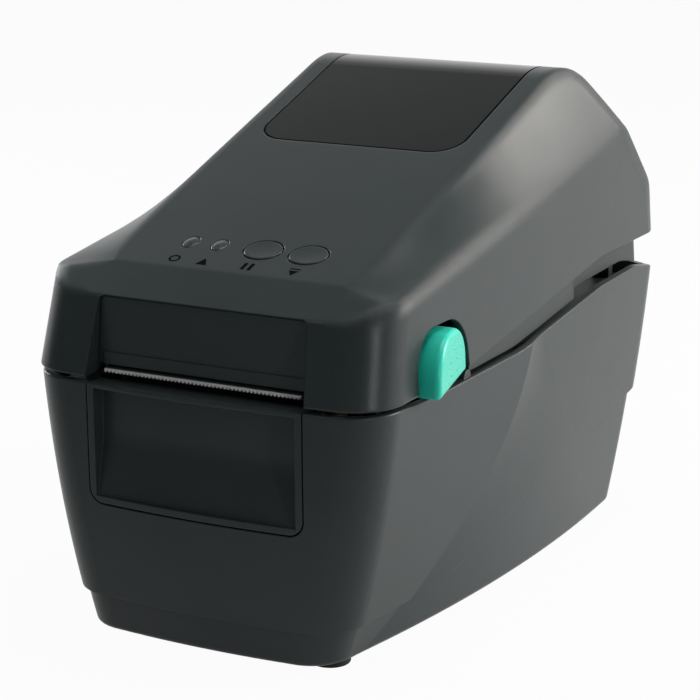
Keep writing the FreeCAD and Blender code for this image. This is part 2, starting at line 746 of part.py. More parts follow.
toe_top = CATCH_Z - CATCH_R - CATCH_GAP
hook_corners = [
    (arm_rear - HOOK_ARM, toe_top - HOOK_TOE, 1.0),
    (CATCH_Y - CATCH_R + HOOK_BITE, toe_top - HOOK_TOE, 1.0),
    (CATCH_Y - CATCH_R + HOOK_BITE, toe_top, 0),
    (arm_rear, toe_top, 0),
    (arm_rear, LATCH_Z - HOOK_EYE_R, 0),
    (LATCH_Y, LATCH_Z, 0),
    (arm_rear - HOOK_ARM, LATCH_Z - 2, 0),
]
hook = prism_x(hook_corners, HOOK_X, HOOK_X + HOOK_T)
hook = joined(hook, rod(X_AXIS, V(HOOK_X, LATCH_Y, LATCH_Z), HOOK_EYE_R, HOOK_T))
hook = hook.cut(rod(X_AXIS, V(0, LATCH_Y, LATCH_Z), LATCH_SHAFT_R, FAR))
save("latch_hook_right", hook)
save("latch_hook_left", mirrored(hook))
spring_x = HOOK_X + HOOK_T + 2 * LATCH_WIRE_R
spring_l = TAB_ROOT_X - spring_x - 2 * LATCH_WIRE_R
return_spring = coil("latch_spring", LATCH_SHAFT_R + 3 * LATCH_WIRE_R, LATCH_WIRE_R, 2, spring_l)
save("latch_spring", along_x(return_spring, spring_x, LATCH_Y, LATCH_Z))

# Head frame in the cover, with the pivot rod of the print head
frame_corners = [
    (HEAD_FRAME_FRONT_Y, 82.0, 2),
    (HEAD_FRAME_REAR_Y, 80.0, 2),
    (HEAD_FRAME_REAR_Y, HEAD_FRAME_TOP_Z, 0),
    (HEAD_FRAME_FRONT_Y, HEAD_FRAME_TOP_Z, 0),
]
head_low_z = PLATEN_Z + PLATEN_R + HEAD_GAP
sink_z = head_low_z + HEAD_T
bracket_z = sink_z + SINK_H
pivot_z = bracket_z - 0.2
frame_out_x = HEAD_FRAME_X + HEAD_FRAME_T
head_frame = both_sides(prism_x(frame_corners, HEAD_FRAME_X, frame_out_x))
deck = box(-frame_out_x, frame_out_x, HEAD_FRAME_FRONT_Y, HEAD_FRAME_REAR_Y,
           HEAD_FRAME_TOP_Z - HEAD_FRAME_T, HEAD_FRAME_TOP_Z)
head_frame = joined(deck, *head_frame.Solids)
head_frame = head_frame.cut(rod(X_AXIS, V(-FAR / 2, LATCH_Y, LATCH_Z), LATCH_SHAFT_R + RUN_CLEARANCE, FAR))
head_frame = head_frame.cut(rod(X_AXIS, V(-FAR / 2, PIVOT_Y, pivot_z), PIVOT_R, FAR))
save("head_frame", head_frame)
save("head_pivot", rod(X_AXIS, V(-frame_out_x - 1, PIVOT_Y, pivot_z), PIVOT_R, 2 * frame_out_x + 2))
save("print_head", box(-HEAD_HALF_L, HEAD_HALF_L, HEAD_FRONT_Y, HEAD_REAR_Y, head_low_z, sink_z))
sink = box(-HEAD_HALF_L, HEAD_HALF_L, HEAD_FRONT_Y + 1, HEAD_REAR_Y, sink_z, bracket_z)
fin_pitch = (HEAD_REAR_Y - HEAD_FRONT_Y - 1) / (FIN_COUNT + 1)
for i in range(FIN_COUNT):
    slot_y = HEAD_FRONT_Y + 1 + fin_pitch * (i + 0.75)
    sink = sink.cut(box(-FAR, FAR, slot_y, slot_y + fin_pitch / 2, sink_z + 2, bracket_z - 1.5))
save("heat_sink", sink)
bracket = box(-HEAD_HALF_L, HEAD_HALF_L, HEAD_FRONT_Y + 2, PIVOT_Y, bracket_z, bracket_z + BRACKET_T)
for x in (-HEAD_HALF_L, HEAD_HALF_L - 4):
    bracket = joined(bracket, rod(X_AXIS, V(x, PIVOT_Y, pivot_z), PIVOT_R + 1.5, 4))
bracket = bracket.cut(rod(X_AXIS, V(-FAR / 2, PIVOT_Y, pivot_z), PIVOT_R + RUN_CLEARANCE, FAR))
save("head_bracket", bracket)
spring_low = bracket_z + BRACKET_T + WIRE_R + 0.2
spring_high = HEAD_FRAME_TOP_Z - HEAD_FRAME_T - WIRE_R - 0.2
for name, x in (("head_spring_left", -SPRING_X), ("head_spring_right", SPRING_X)):
    spring = coil(name, SPRING_R, WIRE_R, SPRING_TURNS, spring_high - spring_low)
    spring.translate(V(x, SPRING_Y, spring_low))
    save(name, spring)

# Hinge: knuckles on the deck of the base, ears and pins on the cover
knuckle = box(KNUCKLE_X, KNUCKLE_X + KNUCKLE_W, HINGE_Y - KNUCKLE_R, HINGE_Y - 0.5, DECK_Z + DECK_T, HINGE_Z)
knuckle = joined(knuckle, rod(X_AXIS, V(KNUCKLE_X, HINGE_Y, HINGE_Z), KNUCKLE_R, KNUCKLE_W))
knuckle = knuckle.cut(rod(X_AXIS, V(0, HINGE_Y, HINGE_Z), HINGE_PIN_R + RUN_CLEARANCE, FAR))
save("hinge_knuckle_right", knuckle)
save("hinge_knuckle_left", mirrored(knuckle))
ear_x0 = KNUCKLE_X - SEAT_GAP - EAR_W
ear_x1 = KNUCKLE_X + KNUCKLE_W + SEAT_GAP
ears = []
for x in (ear_x0, ear_x1):
    ears.append(rod(X_AXIS, V(x, HINGE_Y, HINGE_Z), KNUCKLE_R, EAR_W))
    ears.append(box(x, x + EAR_W, HINGE_Y - KNUCKLE_R, HINGE_Y + KNUCKLE_R, HINGE_Z, HINGE_Z + 16))
bridge = box(ear_x0, ear_x1 + EAR_W, HINGE_Y - KNUCKLE_R, REAR_Y, HINGE_Z + KNUCKLE_R + 2, HINGE_Z + 16)
ear = joined(bridge, *ears).common(cover_form(COVER_WALL + SEAT_GAP / 3))
ear = ear.cut(rod(X_AXIS, V(0, HINGE_Y, HINGE_Z), HINGE_PIN_R, FAR))
save("hinge_ear_right", ear)
save("hinge_ear_left", mirrored(ear))
pin = rod(X_AXIS, V(ear_x0, HINGE_Y, HINGE_Z), HINGE_PIN_R, ear_x1 + EAR_W - ear_x0)
save("hinge_pin_right", pin)
save("hinge_pin_left", mirrored(pin))

# Base shell
base_outer = base_form(0)
base_solid = eased(base_outer.common(below(BASE_EDGE)), on_base_rim, RIM_R)
panel_corners = [
    (-PANEL_HALF_W, PANEL_LOW_Z, PANEL_CORNER_R),
    (PANEL_HALF_W, PANEL_LOW_Z, PANEL_CORNER_R),
    (PANEL_HALF_W, PANEL_TOP_Z, 0),
    (-PANEL_HALF_W, PANEL_TOP_Z, 0),
]
base_shell = base_solid.cut(below(SEAM)).cut(base_form(BASE_WALL))
base_shell = base_shell.cut(prism_y(shrunk(panel_corners, -PANEL_GAP), NOSE_Y, PLATEN_Y))
base_shell = base_shell.cut(box(PORT_X0, PORT_X1, PORT_Y - 5, FAR, PORT_Z0, PORT_Z1))
stud = rod(X_AXIS, V(HALF_W - BASE_WALL - PANEL_GAP, TAB_REAR_Y + TAB_GAP_REAR, BASE_DIP_Z), STUD_R, STUD_T)
base_shell = joined(base_shell, *both_sides(stud).Solids)
save("base_shell", base_shell)

# Front panel with its scoop, hollow behind
front_panel = prism_y(panel_corners, NOSE_Y, SCOOP_Y + SCOOP_BACK_T).common(base_outer)
scoop = [
    (NOSE_Y, PANEL_LOW_Z + PANEL_RIM, 0),
    (FRONT_Y + SCOOP_LEDGE, PANEL_LOW_Z + PANEL_RIM, 0),
    (SCOOP_Y, PANEL_LOW_Z + 18, 25.0),
    (SCOOP_Y, PANEL_TOP_Z - 1.2, 0),
    (NOSE_Y, PANEL_TOP_Z - 1.2, 0),
]
scoop_half = PANEL_HALF_W - PANEL_RIM
front_panel = front_panel.cut(prism_x(scoop, -scoop_half, scoop_half))
save("front_panel", front_panel)

# Bottom tray: floor, wall with a tongue inside the shell, posts and ribs
tray_inset = TRAY_STEP + TRAY_WALL
tray_outer = base_form(TRAY_STEP)
foot_edges = [e for e in tray_outer.Edges if e.BoundBox.ZMax < FOOT_H + 0.01]
tray_outer = tray_outer.makeFillet(BASE_EDGE_R, foot_edges)
tray = tray_outer.common(below(raised(SEAM, -SEAT_GAP)))
tongue = base_form(BASE_WALL + SEAT_GAP).common(below(raised(SEAM, TRAY_TONGUE)))
tongue = tongue.cut(below(raised(SEAM, -SEAT_GAP)))
hollow = base_form(tray_inset).cut(box(-FAR, FAR, -FAR, FAR, 0, FLOOR_Z))
tray = joined(tray, tongue).cut(hollow)
rack_r = RACK_M * RACK_TEETH / 2
ribs = []
for y in (MAIN_BOARD_FRONT_Y + 6, MAIN_BOARD_REAR_Y - 6):
    ribs.append(box(MAIN_BOARD_X - 2, MAIN_BOARD_X + 4, y - 2, y + 2, FLOOR_Z - 1, MAIN_BOARD_Z0))
bar_y = rack_r + 1.2 * RACK_M
for y0 in (ROLL_Y + bar_y, ROLL_Y - bar_y - RACK_BACK):
    ribs.append(box(-WELL_HALF_W, WELL_HALF_W, y0, y0 + RACK_BACK, FLOOR_Z - 1, RACK_Z - SEAT_GAP))
ribs.append(rod(Z_AXIS, V(0, ROLL_Y, FLOOR_Z - 1), 3.5, RACK_Z - SEAT_GAP - FLOOR_Z + 1))
ribs.append(rod(Z_AXIS, V(0, ROLL_Y, FLOOR_Z - 1), POST_R, RACK_Z + RACK_H - FLOOR_Z + 2))
screw_spots = [(x, y) for x in (-SCREW_X, SCREW_X) for y in (SCREW_FRONT_Y, SCREW_REAR_Y)]
for x, y in screw_spots:
    ribs.append(rod(Z_AXIS, V(x, y, FLOOR_Z - 1), 3.8, 8))
tray = joined(tray, *ribs)
foot_spots = [(x, y) for x in (-FOOT_X, FOOT_X) for y in (FOOT_FRONT_Y, FOOT_REAR_Y)]
for x, y in foot_spots:
    tray = tray.cut(rod(Z_AXIS, V(x, y, 0), FOOT_R, FOOT_H + FOOT_SINK))
for x, y in screw_spots:
    tray = tray.cut(rod(Z_AXIS, V(x, y, 0), SCREW_HEAD_R + 0.5, FOOT_H + 2))
    tray = tray.cut(rod(Z_AXIS, V(x, y, 0), SCREW_R, FLOOR_Z + 7))
save("bottom_tray", tray)
feet = [rod(Z_AXIS, V(x, y, 0), FOOT_R, FOOT_H + FOOT_SINK) for x, y in foot_spots]
save("rubber_feet", Part.makeCompound(feet))
screws = []
for x, y in screw_spots:
    screw_head = rod(Z_AXIS, V(x, y, FOOT_H + 0.4), SCREW_HEAD_R, 1.6)
    screws.append(joined(screw_head, rod(Z_AXIS, V(x, y, FOOT_H + 1), SCREW_R, FLOOR_Z + 6 - FOOT_H - 1)))
save("tray_screws", Part.makeCompound(screws))

# Side frames, catch pins, bearings
frame_outline = [
    (PLATEN_Y - 1.0, FLOOR_Z + SEAT_GAP, 2),
    (PLATEN_Y + 46.0, FLOOR_Z + SEAT_GAP, 2),
    (PLATEN_Y + 46.0, FRAME_TOP_Z - 10.4, 4),
    (PLATEN_Y + 34.0, FRAME_TOP_Z, 4),
    (PLATEN_Y - 7.5, FRAME_TOP_Z, 3),
    (PLATEN_Y - 7.5, PLATEN_Z - 9.5, 4),
    (PLATEN_Y - 1.0, PLATEN_Z - 25.5, 4),
]
side_frame = prism_x(frame_outline, FRAME_X, FRAME_X + FRAME_T)
side_frame = side_frame.cut(rod(X_AXIS, V(0, PLATEN_Y, PLATEN_Z), BEARING_R, FAR))
save("side_frame_right", side_frame)
idler_reach = GEAR_M * (PLATEN_TEETH + IDLER_TEETH) / 2
pinion_reach = GEAR_M * (IDLER_TEETH + PINION_TEETH) / 2
idler_turn = math.radians(IDLER_TURN)
motor_turn = math.radians(MOTOR_TURN)
idler_y = PLATEN_Y + idler_reach * math.cos(idler_turn)
idler_z = PLATEN_Z + idler_reach * math.sin(idler_turn)
motor_y = idler_y + pinion_reach * math.cos(motor_turn)
motor_z = idler_z + pinion_reach * math.sin(motor_turn)
left_frame = mirrored(side_frame).cut(rod(X_AXIS, V(-FAR, motor_y, motor_z), 6.0, FAR))
save("side_frame_left", left_frame)
catch = rod(X_AXIS, V(FRAME_X + FRAME_T, CATCH_Y, CATCH_Z), CATCH_R, CATCH_L)
save("catch_pin_right", catch)
save("catch_pin_left", mirrored(catch))
bearing = rod(X_AXIS, V(FRAME_X - 0.5, PLATEN_Y, PLATEN_Z), BEARING_R, 3)
bearing = bearing.cut(rod(X_AXIS, V(0, PLATEN_Y, PLATEN_Z), SHAFT_R + RUN_CLEARANCE, FAR))
save("bearing_right", bearing)
save("bearing_left", mirrored(bearing))

# Platen, gear train and motor
shaft_x0 = GEAR_X - 0.6
shaft_l = FRAME_X + 3 - shaft_x0
save("platen_shaft", rod(X_AXIS, V(shaft_x0, PLATEN_Y, PLATEN_Z), SHAFT_R, shaft_l))
roller = rod(X_AXIS, V(-PLATEN_HALF_L, PLATEN_Y, PLATEN_Z), PLATEN_R, 2 * PLATEN_HALF_L)
save("platen_roller", roller.cut(rod(X_AXIS, V(shaft_x0, PLATEN_Y, PLATEN_Z), SHAFT_R, shaft_l)))
platen_gear = gear(PLATEN_TEETH, GEAR_M, idler_turn, GEAR_W, SHAFT_R)
save("platen_gear", along_x(platen_gear, GEAR_X, PLATEN_Y, PLATEN_Z))
idler_phase = meshed(idler_turn, PLATEN_TEETH, idler_turn, IDLER_TEETH)
hub_l = -FRAME_X - FRAME_T - SEAT_GAP - GEAR_X - GEAR_W
idler = gear(IDLER_TEETH, GEAR_M, idler_phase, GEAR_W, POST_R + RUN_CLEARANCE)
hub = rod(Z_AXIS, V(0, 0, GEAR_W), 4.0, hub_l).cut(rod(Z_AXIS, V(0, 0, 0), POST_R + RUN_CLEARANCE, FAR))
save("idler_gear", along_x(joined(idler, hub), GEAR_X, idler_y, idler_z))
post_x0 = GEAR_X - 0.5
idler_post = rod(X_AXIS, V(post_x0, idler_y, idler_z), POST_R, -FRAME_X - FRAME_T - post_x0)
save("idler_post", joined(idler_post, rod(X_AXIS, V(post_x0 - 1, idler_y, idler_z), POST_R + 1, 1)))
pinion_phase = meshed(idler_phase, IDLER_TEETH, motor_turn, PINION_TEETH)
pinion = along_x(gear(PINION_TEETH, GEAR_M, pinion_phase, GEAR_W, MOTOR_SHAFT_R / 2), GEAR_X, motor_y, motor_z)
motor_shaft = rod(X_AXIS, V(GEAR_X, motor_y, motor_z), MOTOR_SHAFT_R, 6 - FRAME_X - GEAR_X)
save("motor_pinion", joined(pinion, motor_shaft))
motor = rod(X_AXIS, V(-FRAME_X, motor_y, motor_z), MOTOR_R, MOTOR_L)
motor = motor.cut(rod(X_AXIS, V(-FRAME_X, motor_y, motor_z), MOTOR_SHAFT_R + RUN_CLEARANCE, 7))
save("motor", motor)

# Media well with its deck, and the path plate with the gap sensor
deck_top = DECK_Z + DECK_T
well_out = WELL_HALF_W + WELL_T
trough = rod(X_AXIS, V(-well_out, ROLL_Y, ROLL_Z), WELL_R + WELL_T, 2 * well_out)
trough = trough.common(box(-FAR, FAR, -FAR, FAR, 0, deck_top))
rim = box(-FAR, FAR, LINER_FRONT_Y + 2, FAR, DECK_Z, deck_top).common(base_form(BASE_WALL + SEAT_GAP))
well = joined(rim, trough)
well = well.cut(rod(X_AXIS, V(-WELL_HALF_W, ROLL_Y, ROLL_Z), WELL_R, 2 * WELL_HALF_W))
leg_half = GUIDE_LEG_HALF_Y + 0.6
well = well.cut(box(-WELL_HALF_W, WELL_HALF_W, ROLL_Y - leg_half, ROLL_Y + leg_half, 0, ROLL_Z - WELL_R + 3))
save("media_well", well)
path_half = FRAME_X - SEAT_GAP
path = box(-path_half, path_half, PATH_FRONT_Y, LINER_FRONT_Y + 2 - SEAT_GAP, PATH_Z, PATH_Z + PATH_T)
slot_half = SENSOR_HALF_Y + 0.4
slot_x = SENSOR_TRAVEL + 6
path = path.cut(box(-slot_x, slot_x, SENSOR_Y - slot_half, SENSOR_Y + slot_half, 0, FAR))
save("media_path", path)
sensor = box(-4, 4, SENSOR_Y - SENSOR_HALF_Y, SENSOR_Y + SENSOR_HALF_Y, PATH_Z - 2, PATH_Z + PATH_T - 0.2)
foot = box(-5, 5, SENSOR_Y - slot_half - 2, SENSOR_Y + slot_half + 2, PATH_Z - 5, PATH_Z - SEAT_GAP)
save("gap_sensor", joined(sensor, foot))

# Roll guides with racks, coupled by a pinion on a post of the tray
guide = rod(X_AXIS, V(-GUIDE_X, ROLL_Y, ROLL_Z), GUIDE_R, GUIDE_T)
leg_low = RACK_Z + RACK_H + SEAT_GAP
guide_x1 = GUIDE_T - GUIDE_X
leg = box(-GUIDE_X, guide_x1, ROLL_Y - GUIDE_LEG_HALF_Y, ROLL_Y + GUIDE_LEG_HALF_Y, leg_low, ROLL_Z)
guide_hub = rod(X_AXIS, V(-GUIDE_X, ROLL_Y, ROLL_Z), GUIDE_HUB_R, GUIDE_T + GUIDE_HUB_L)
shank = box(-GUIDE_X, guide_x1, ROLL_Y + bar_y, ROLL_Y + bar_y + RACK_BACK, RACK_Z, leg_low)
bar = box(-GUIDE_X, RACK_REACH, ROLL_Y + bar_y, ROLL_Y + bar_y + RACK_BACK, RACK_Z, RACK_Z + RACK_H)
rack_pitch = math.pi * RACK_M
teeth = []
first = int((guide_x1 + 2) / rack_pitch)
for i in range(first, int(RACK_REACH / rack_pitch)):
    middle = (i + 0.5) * rack_pitch
    tooth = [
        (middle - 1.0 * RACK_M, ROLL_Y + bar_y + 0.1, 0),
        (middle - 0.3 * RACK_M, ROLL_Y + rack_r - 0.8 * RACK_M, 0),
        (middle + 0.3 * RACK_M, ROLL_Y + rack_r - 0.8 * RACK_M, 0),
        (middle + 1.0 * RACK_M, ROLL_Y + bar_y + 0.1, 0),
    ]
    teeth.append(prism_z(tooth, RACK_Z, RACK_Z + RACK_H))
guide = joined(guide, leg, guide_hub, shank, bar, *teeth)
save("guide_left", guide)
right_guide = guide.copy()
right_guide.rotate(V(0, ROLL_Y, 0), Z_AXIS, 180)
save("guide_right", right_guide)
guide_pinion = gear(RACK_TEETH, RACK_M, math.pi / 2, RACK_H, POST_R + RUN_CLEARANCE)
guide_pinion.translate(V(0, ROLL_Y, RACK_Z))
save("guide_pinion", guide_pinion)

# Main board, rear connector panel and what sits in it
main_board = box(MAIN_BOARD_X, MAIN_BOARD_X + BOARD_T, MAIN_BOARD_FRONT_Y, MAIN_BOARD_REAR_Y,
                 MAIN_BOARD_Z0, MAIN_BOARD_Z1)
chip_x = MAIN_BOARD_X + BOARD_T
chip_y = MAIN_BOARD_FRONT_Y + 8
chip_z = MAIN_BOARD_Z0 + 7
chips = [
    box(chip_x, chip_x + 1.6, chip_y + 22, chip_y + 44, chip_z + 14, chip_z + 36),
    box(chip_x, chip_x + 1.2, chip_y + 56, chip_y + 68, chip_z + 20, chip_z + 30),
    box(chip_x, chip_x + 4.0, chip_y, chip_y + 10, chip_z, chip_z + 30),
    rod(X_AXIS, V(chip_x, chip_y + 82, chip_z + 10), 4.0, 5.0),
]
save("main_board", joined(main_board, *chips))
tub = box(PORT_X0 + SEAT_GAP, PORT_X1 - SEAT_GAP, PORT_Y, FAR, PORT_Z0 + SEAT_GAP, PORT_Z1 - SEAT_GAP)
tub = tub.common(base_outer)
wall = SEAT_GAP + PORT_T
tub = tub.cut(box(PORT_X0 + wall, PORT_X1 - wall, PORT_Y + PORT_T, FAR, PORT_Z0 + wall, PORT_Z1 - wall))
inlet_nose = rod(Y_AXIS, V(INLET_X, PORT_Y - 2, PORT_MID_Z), 4.4, 5)
tub = tub.cut(rod(Y_AXIS, V(INLET_X, 0, PORT_MID_Z), 4.4 + SEAT_GAP, FAR))
data_shell = box(DATA_X - 6, DATA_X + 6, PORT_Y - PORT_DEPTH, PORT_Y + 3, PORT_MID_Z - 5.4, PORT_MID_Z + 5.4)
tub = tub.cut(box(DATA_X - 6 - SEAT_GAP, DATA_X + 6 + SEAT_GAP, 0, FAR,
                  PORT_MID_Z - 5.4 - SEAT_GAP, PORT_MID_Z + 5.4 + SEAT_GAP))
switch_body = box(SWITCH_X - 6, SWITCH_X + 6, PORT_Y - PORT_DEPTH + 0.2, PORT_Y + 2.4, PORT_MID_Z - 9, PORT_MID_Z + 9)
tub = tub.cut(box(SWITCH_X - 6 - SEAT_GAP, SWITCH_X + 6 + SEAT_GAP, 0, FAR,
                  PORT_MID_Z - 9 - SEAT_GAP, PORT_MID_Z + 9 + SEAT_GAP))
save("port_panel", tub)
inlet = box(INLET_X - 5.5, INLET_X + 5.5, PORT_Y - PORT_DEPTH, PORT_Y - SEAT_GAP, PORT_MID_Z - 6, PORT_MID_Z + 6)
inlet = joined(inlet, inlet_nose).cut(rod(Y_AXIS, V(INLET_X, PORT_Y - 9, PORT_MID_Z), 2.9, 20))
inlet = joined(inlet, rod(Y_AXIS, V(INLET_X, PORT_Y - 10, PORT_MID_Z), 1.0, 11))
save("power_inlet", inlet)
data_port = data_shell.cut(box(DATA_X - 4.2, DATA_X + 4.2, PORT_Y - 7, FAR, PORT_MID_Z - 3.9, PORT_MID_Z + 3.9))
data_port = joined(data_port, box(DATA_X - 2.8, DATA_X + 2.8, PORT_Y - 8, PORT_Y + 2,
                                  PORT_MID_Z - 1.6, PORT_MID_Z + 1.6))
save("data_port", data_port)
pocket = box(SWITCH_X - 4.4, SWITCH_X + 4.4, PORT_Y - 6, FAR, PORT_MID_Z - 7.8, PORT_MID_Z + 7.8)
save("switch_body", switch_body.cut(pocket))
rocker_y = PORT_Y + 0.6
rocker_corners = [
    (rocker_y - 3.5, PORT_MID_Z - 6.8, 1),
    (rocker_y + 3.4, PORT_MID_Z - 6.8, 1),
    (rocker_y + 2.2, PORT_MID_Z, 12),
    (rocker_y + 3.4, PORT_MID_Z + 6.8, 1),
    (rocker_y - 3.5, PORT_MID_Z + 6.8, 1),
]
rocker = prism_x(rocker_corners, SWITCH_X - 4.1, SWITCH_X + 4.1)
rocker.rotate(V(0, rocker_y, PORT_MID_Z), X_AXIS, -ROCKER_TILT)
save("switch_rocker", rocker)
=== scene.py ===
import logging
import math
from dataclasses import dataclass, field
from enum import Enum

import bpy
import numpy as np
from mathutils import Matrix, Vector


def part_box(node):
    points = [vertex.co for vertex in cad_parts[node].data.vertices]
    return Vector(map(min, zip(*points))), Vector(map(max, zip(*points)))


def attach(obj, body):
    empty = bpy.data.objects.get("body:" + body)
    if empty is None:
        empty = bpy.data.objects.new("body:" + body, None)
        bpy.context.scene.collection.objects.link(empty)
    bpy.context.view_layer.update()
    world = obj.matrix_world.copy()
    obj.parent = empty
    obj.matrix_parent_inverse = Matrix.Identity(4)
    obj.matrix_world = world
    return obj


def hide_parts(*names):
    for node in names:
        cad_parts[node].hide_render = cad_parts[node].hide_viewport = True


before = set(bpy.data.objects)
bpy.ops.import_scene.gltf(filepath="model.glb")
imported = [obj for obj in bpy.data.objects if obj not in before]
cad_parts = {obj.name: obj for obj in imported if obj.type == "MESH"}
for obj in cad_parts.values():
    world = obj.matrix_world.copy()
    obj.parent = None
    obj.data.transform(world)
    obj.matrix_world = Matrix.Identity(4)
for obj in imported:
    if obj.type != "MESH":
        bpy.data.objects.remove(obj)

LOG = logging.getLogger("label_printer")
MM = 0.001
NOISE_LOW = 0.3
NOISE_HIGH = 0.7
EDGE_SAMPLES = 6
CREST_X = (37.0 * MM, 41.0 * MM)
CREST_Z = (97.0 * MM, 101.0 * MM)
Colour = tuple[float, float, float]


class Body(Enum):
    """Rigid bodies of the part that new pieces ride on."""

    BASE = "base"
    COVER = "cover"
    LATCH = "latch"
    PAUSE = "pause"
    FEED = "feed"


class Mark(Enum):
    """Plain pictograms printed beside the lamps and buttons."""

    POWER = "power"
    ALERT = "alert"
    PAUSE = "pause"
    FEED = "feed"


def linked_nodes(material: bpy.types.Material) -> tuple[bpy.types.NodeTree, bpy.types.Node]:
    """Switches a material to nodes.

    Args:
        material: the material to prepare.

    Returns:
        Its node tree and its Principled shader.
    """
    material.use_nodes = True
    tree = material.node_tree
    return tree, tree.nodes["Principled BSDF"]


def noise(tree: bpy.types.NodeTree, scale: float, detail: float, stretch: Colour = (1, 1, 1)) -> bpy.types.Node:
    """Adds a noise texture on Object coordinates.

    Args:
        tree: the node tree to add to.
        scale: cells per metre.
        detail: number of finer octaves.
        stretch: factors on the three axes, for brushed or drawn grain.

    Returns:
        The noise node.
    """
    place = tree.nodes.new("ShaderNodeTexCoord")
    turn = tree.nodes.new("ShaderNodeMapping")
    turn.inputs["Scale"].default_value = stretch
    grain = tree.nodes.new("ShaderNodeTexNoise")
    grain.inputs["Scale"].default_value = scale
    grain.inputs["Detail"].default_value = detail
    tree.links.new(place.outputs["Object"], turn.inputs["Vector"])
    tree.links.new(turn.outputs["Vector"], grain.inputs["Vector"])
    return grain


def ramp(tree: bpy.types.NodeTree, source: bpy.types.Node, low: Colour, high: Colour) -> bpy.types.Node:
    """Turns a noise into a colour between two close shades.

    Args:
        tree: the node tree to add to.
        source: the noise node.
        low: shade at the noise's low end.
        high: shade at its high end.

    Returns:
        The colour ramp node.
    """
    shades = tree.nodes.new("ShaderNodeValToRGB")
    shades.color_ramp.elements[0].position = NOISE_LOW
    shades.color_ramp.elements[1].position = NOISE_HIGH
    shades.color_ramp.elements[0].color = (*low, 1)
    shades.color_ramp.elements[1].color = (*high, 1)
    tree.links.new(source.outputs["Fac"], shades.inputs["Fac"])
    return shades


def span(tree: bpy.types.NodeTree, source: bpy.types.Node, low: float, high: float) -> bpy.types.Node:
    """Maps a noise to a range of roughness.

    Args:
        tree: the node tree to add to.
        source: the noise node.
        low: value at the noise's low end.
        high: value at its high end.

    Returns:
        The Map Range node.
    """
    limits = tree.nodes.new("ShaderNodeMapRange")
    limits.inputs["From Min"].default_value = NOISE_LOW
    limits.inputs["From Max"].default_value = NOISE_HIGH
    limits.inputs["To Min"].default_value = low
    limits.inputs["To Max"].default_value = high
    tree.links.new(source.outputs["Fac"], limits.inputs["Value"])
    return limits


def smooth_step(tree: bpy.types.NodeTree, value: bpy.types.NodeSocket, start: float,
                end: float) -> bpy.types.NodeSocket:
    """Runs smoothly from 0 to 1 while a value goes from start to end.

    Args:
        tree: the node tree to add to.
        value: the socket that is read.
        start: value where the result is 0.
        end: value where the result is 1.

    Returns:
        The socket of the result.
    """
    limits = tree.nodes.new("ShaderNodeMapRange")
    limits.interpolation_type = "SMOOTHSTEP"
    limits.inputs["From Min"].default_value = start
    limits.inputs["From Max"].default_value = end
    tree.links.new(value, limits.inputs["Value"])
    return limits.outputs["Result"]


def combined(tree: bpy.types.NodeTree, how: str, one: bpy.types.NodeSocket,
             other: bpy.types.NodeSocket) -> bpy.types.NodeSocket:
    """Combines two sockets with one operation.

    Args:
        tree: the node tree to add to.
        how: the Math node's operation.
        one: the first socket.
        other: the second socket.

    Returns:
        The socket of the result.
    """
    step = tree.nodes.new("ShaderNodeMath")
    step.operation = how
    tree.links.new(one, step.inputs[0])
    tree.links.new(other, step.inputs[1])
    return step.outputs["Value"]


def faded(tree: bpy.types.NodeTree, axis: str, start: float, end: float) -> bpy.types.NodeSocket:
    """Runs smoothly from 0 to 1 along one Object coordinate, taken without its sign.

    Args:
        tree: the node tree to add to.
        axis: the coordinate, X, Y or Z.
        start: distance from the middle plane where the result is 0, in metres.
        end: distance where it is 1.

    Returns:
        The socket of the result.
    """
    place = tree.nodes.new("ShaderNodeTexCoord")
    parts = tree.nodes.new("ShaderNodeSeparateXYZ")
    size = tree.nodes.new("ShaderNodeMath")
    size.operation = "ABSOLUTE"
    tree.links.new(place.outputs["Object"], parts.inputs["Vector"])
    tree.links.new(parts.outputs[axis], size.inputs[0])
    return smooth_step(tree, size.outputs["Value"], start, end)


def crest_radius(tree: bpy.types.NodeTree, edge_r: float, crest_r: float) -> bpy.types.NodeSocket:
    """Gives the edge radius of the cover: small in general, large along the crests beside the sloping top.

    Args:
        tree: the node tree to add to.
        edge_r: the general radius in metres.
        crest_r: what the crests have beyond it.

    Returns:
        The socket of the radius.
    """
    crest = combined(tree, "MULTIPLY", faded(tree, "X", *CREST_X), faded(tree, "Z", *CREST_Z))
    radius = tree.nodes.new("ShaderNodeMath")
    radius.operation = "MULTIPLY_ADD"
    tree.links.new(crest, radius.inputs[0])
    radius.inputs[1].default_value = crest_r
    radius.inputs[2].default_value = edge_r
    return radius.outputs["Value"]


def bump(tree: bpy.types.NodeTree, source: bpy.types.Node, shader: bpy.types.Node, depth: float,
         strength: float, edge_r: float = 0.0, crest_r: float = 0.0) -> None:
    """Raises a noise as a fine relief on a shader, over edges that a mould leaves slightly round.

    Args:
        tree: the node tree to add to.
        source: the noise node.
        shader: the Principled shader.
        depth: height of the relief in metres.
        strength: share of it that shows.
        edge_r: radius of the edges in metres, or zero for sharp ones.
        crest_r: what the crests beside the sloping top have beyond it.
    """
    relief = tree.nodes.new("ShaderNodeBump")
    if edge_r > 0:
        edges = tree.nodes.new("ShaderNodeBevel")
        edges.samples = EDGE_SAMPLES
        edges.inputs["Radius"].default_value = edge_r
        if crest_r > 0:
            tree.links.new(crest_radius(tree, edge_r, crest_r), edges.inputs["Radius"])
        tree.links.new(edges.outputs["Normal"], relief.inputs["Normal"])
    relief.inputs["Strength"].default_value = strength
    relief.inputs["Distance"].default_value = depth
    tree.links.new(source.outputs["Fac"], relief.inputs["Height"])
    tree.links.new(relief.outputs["Normal"], shader.inputs["Normal"])


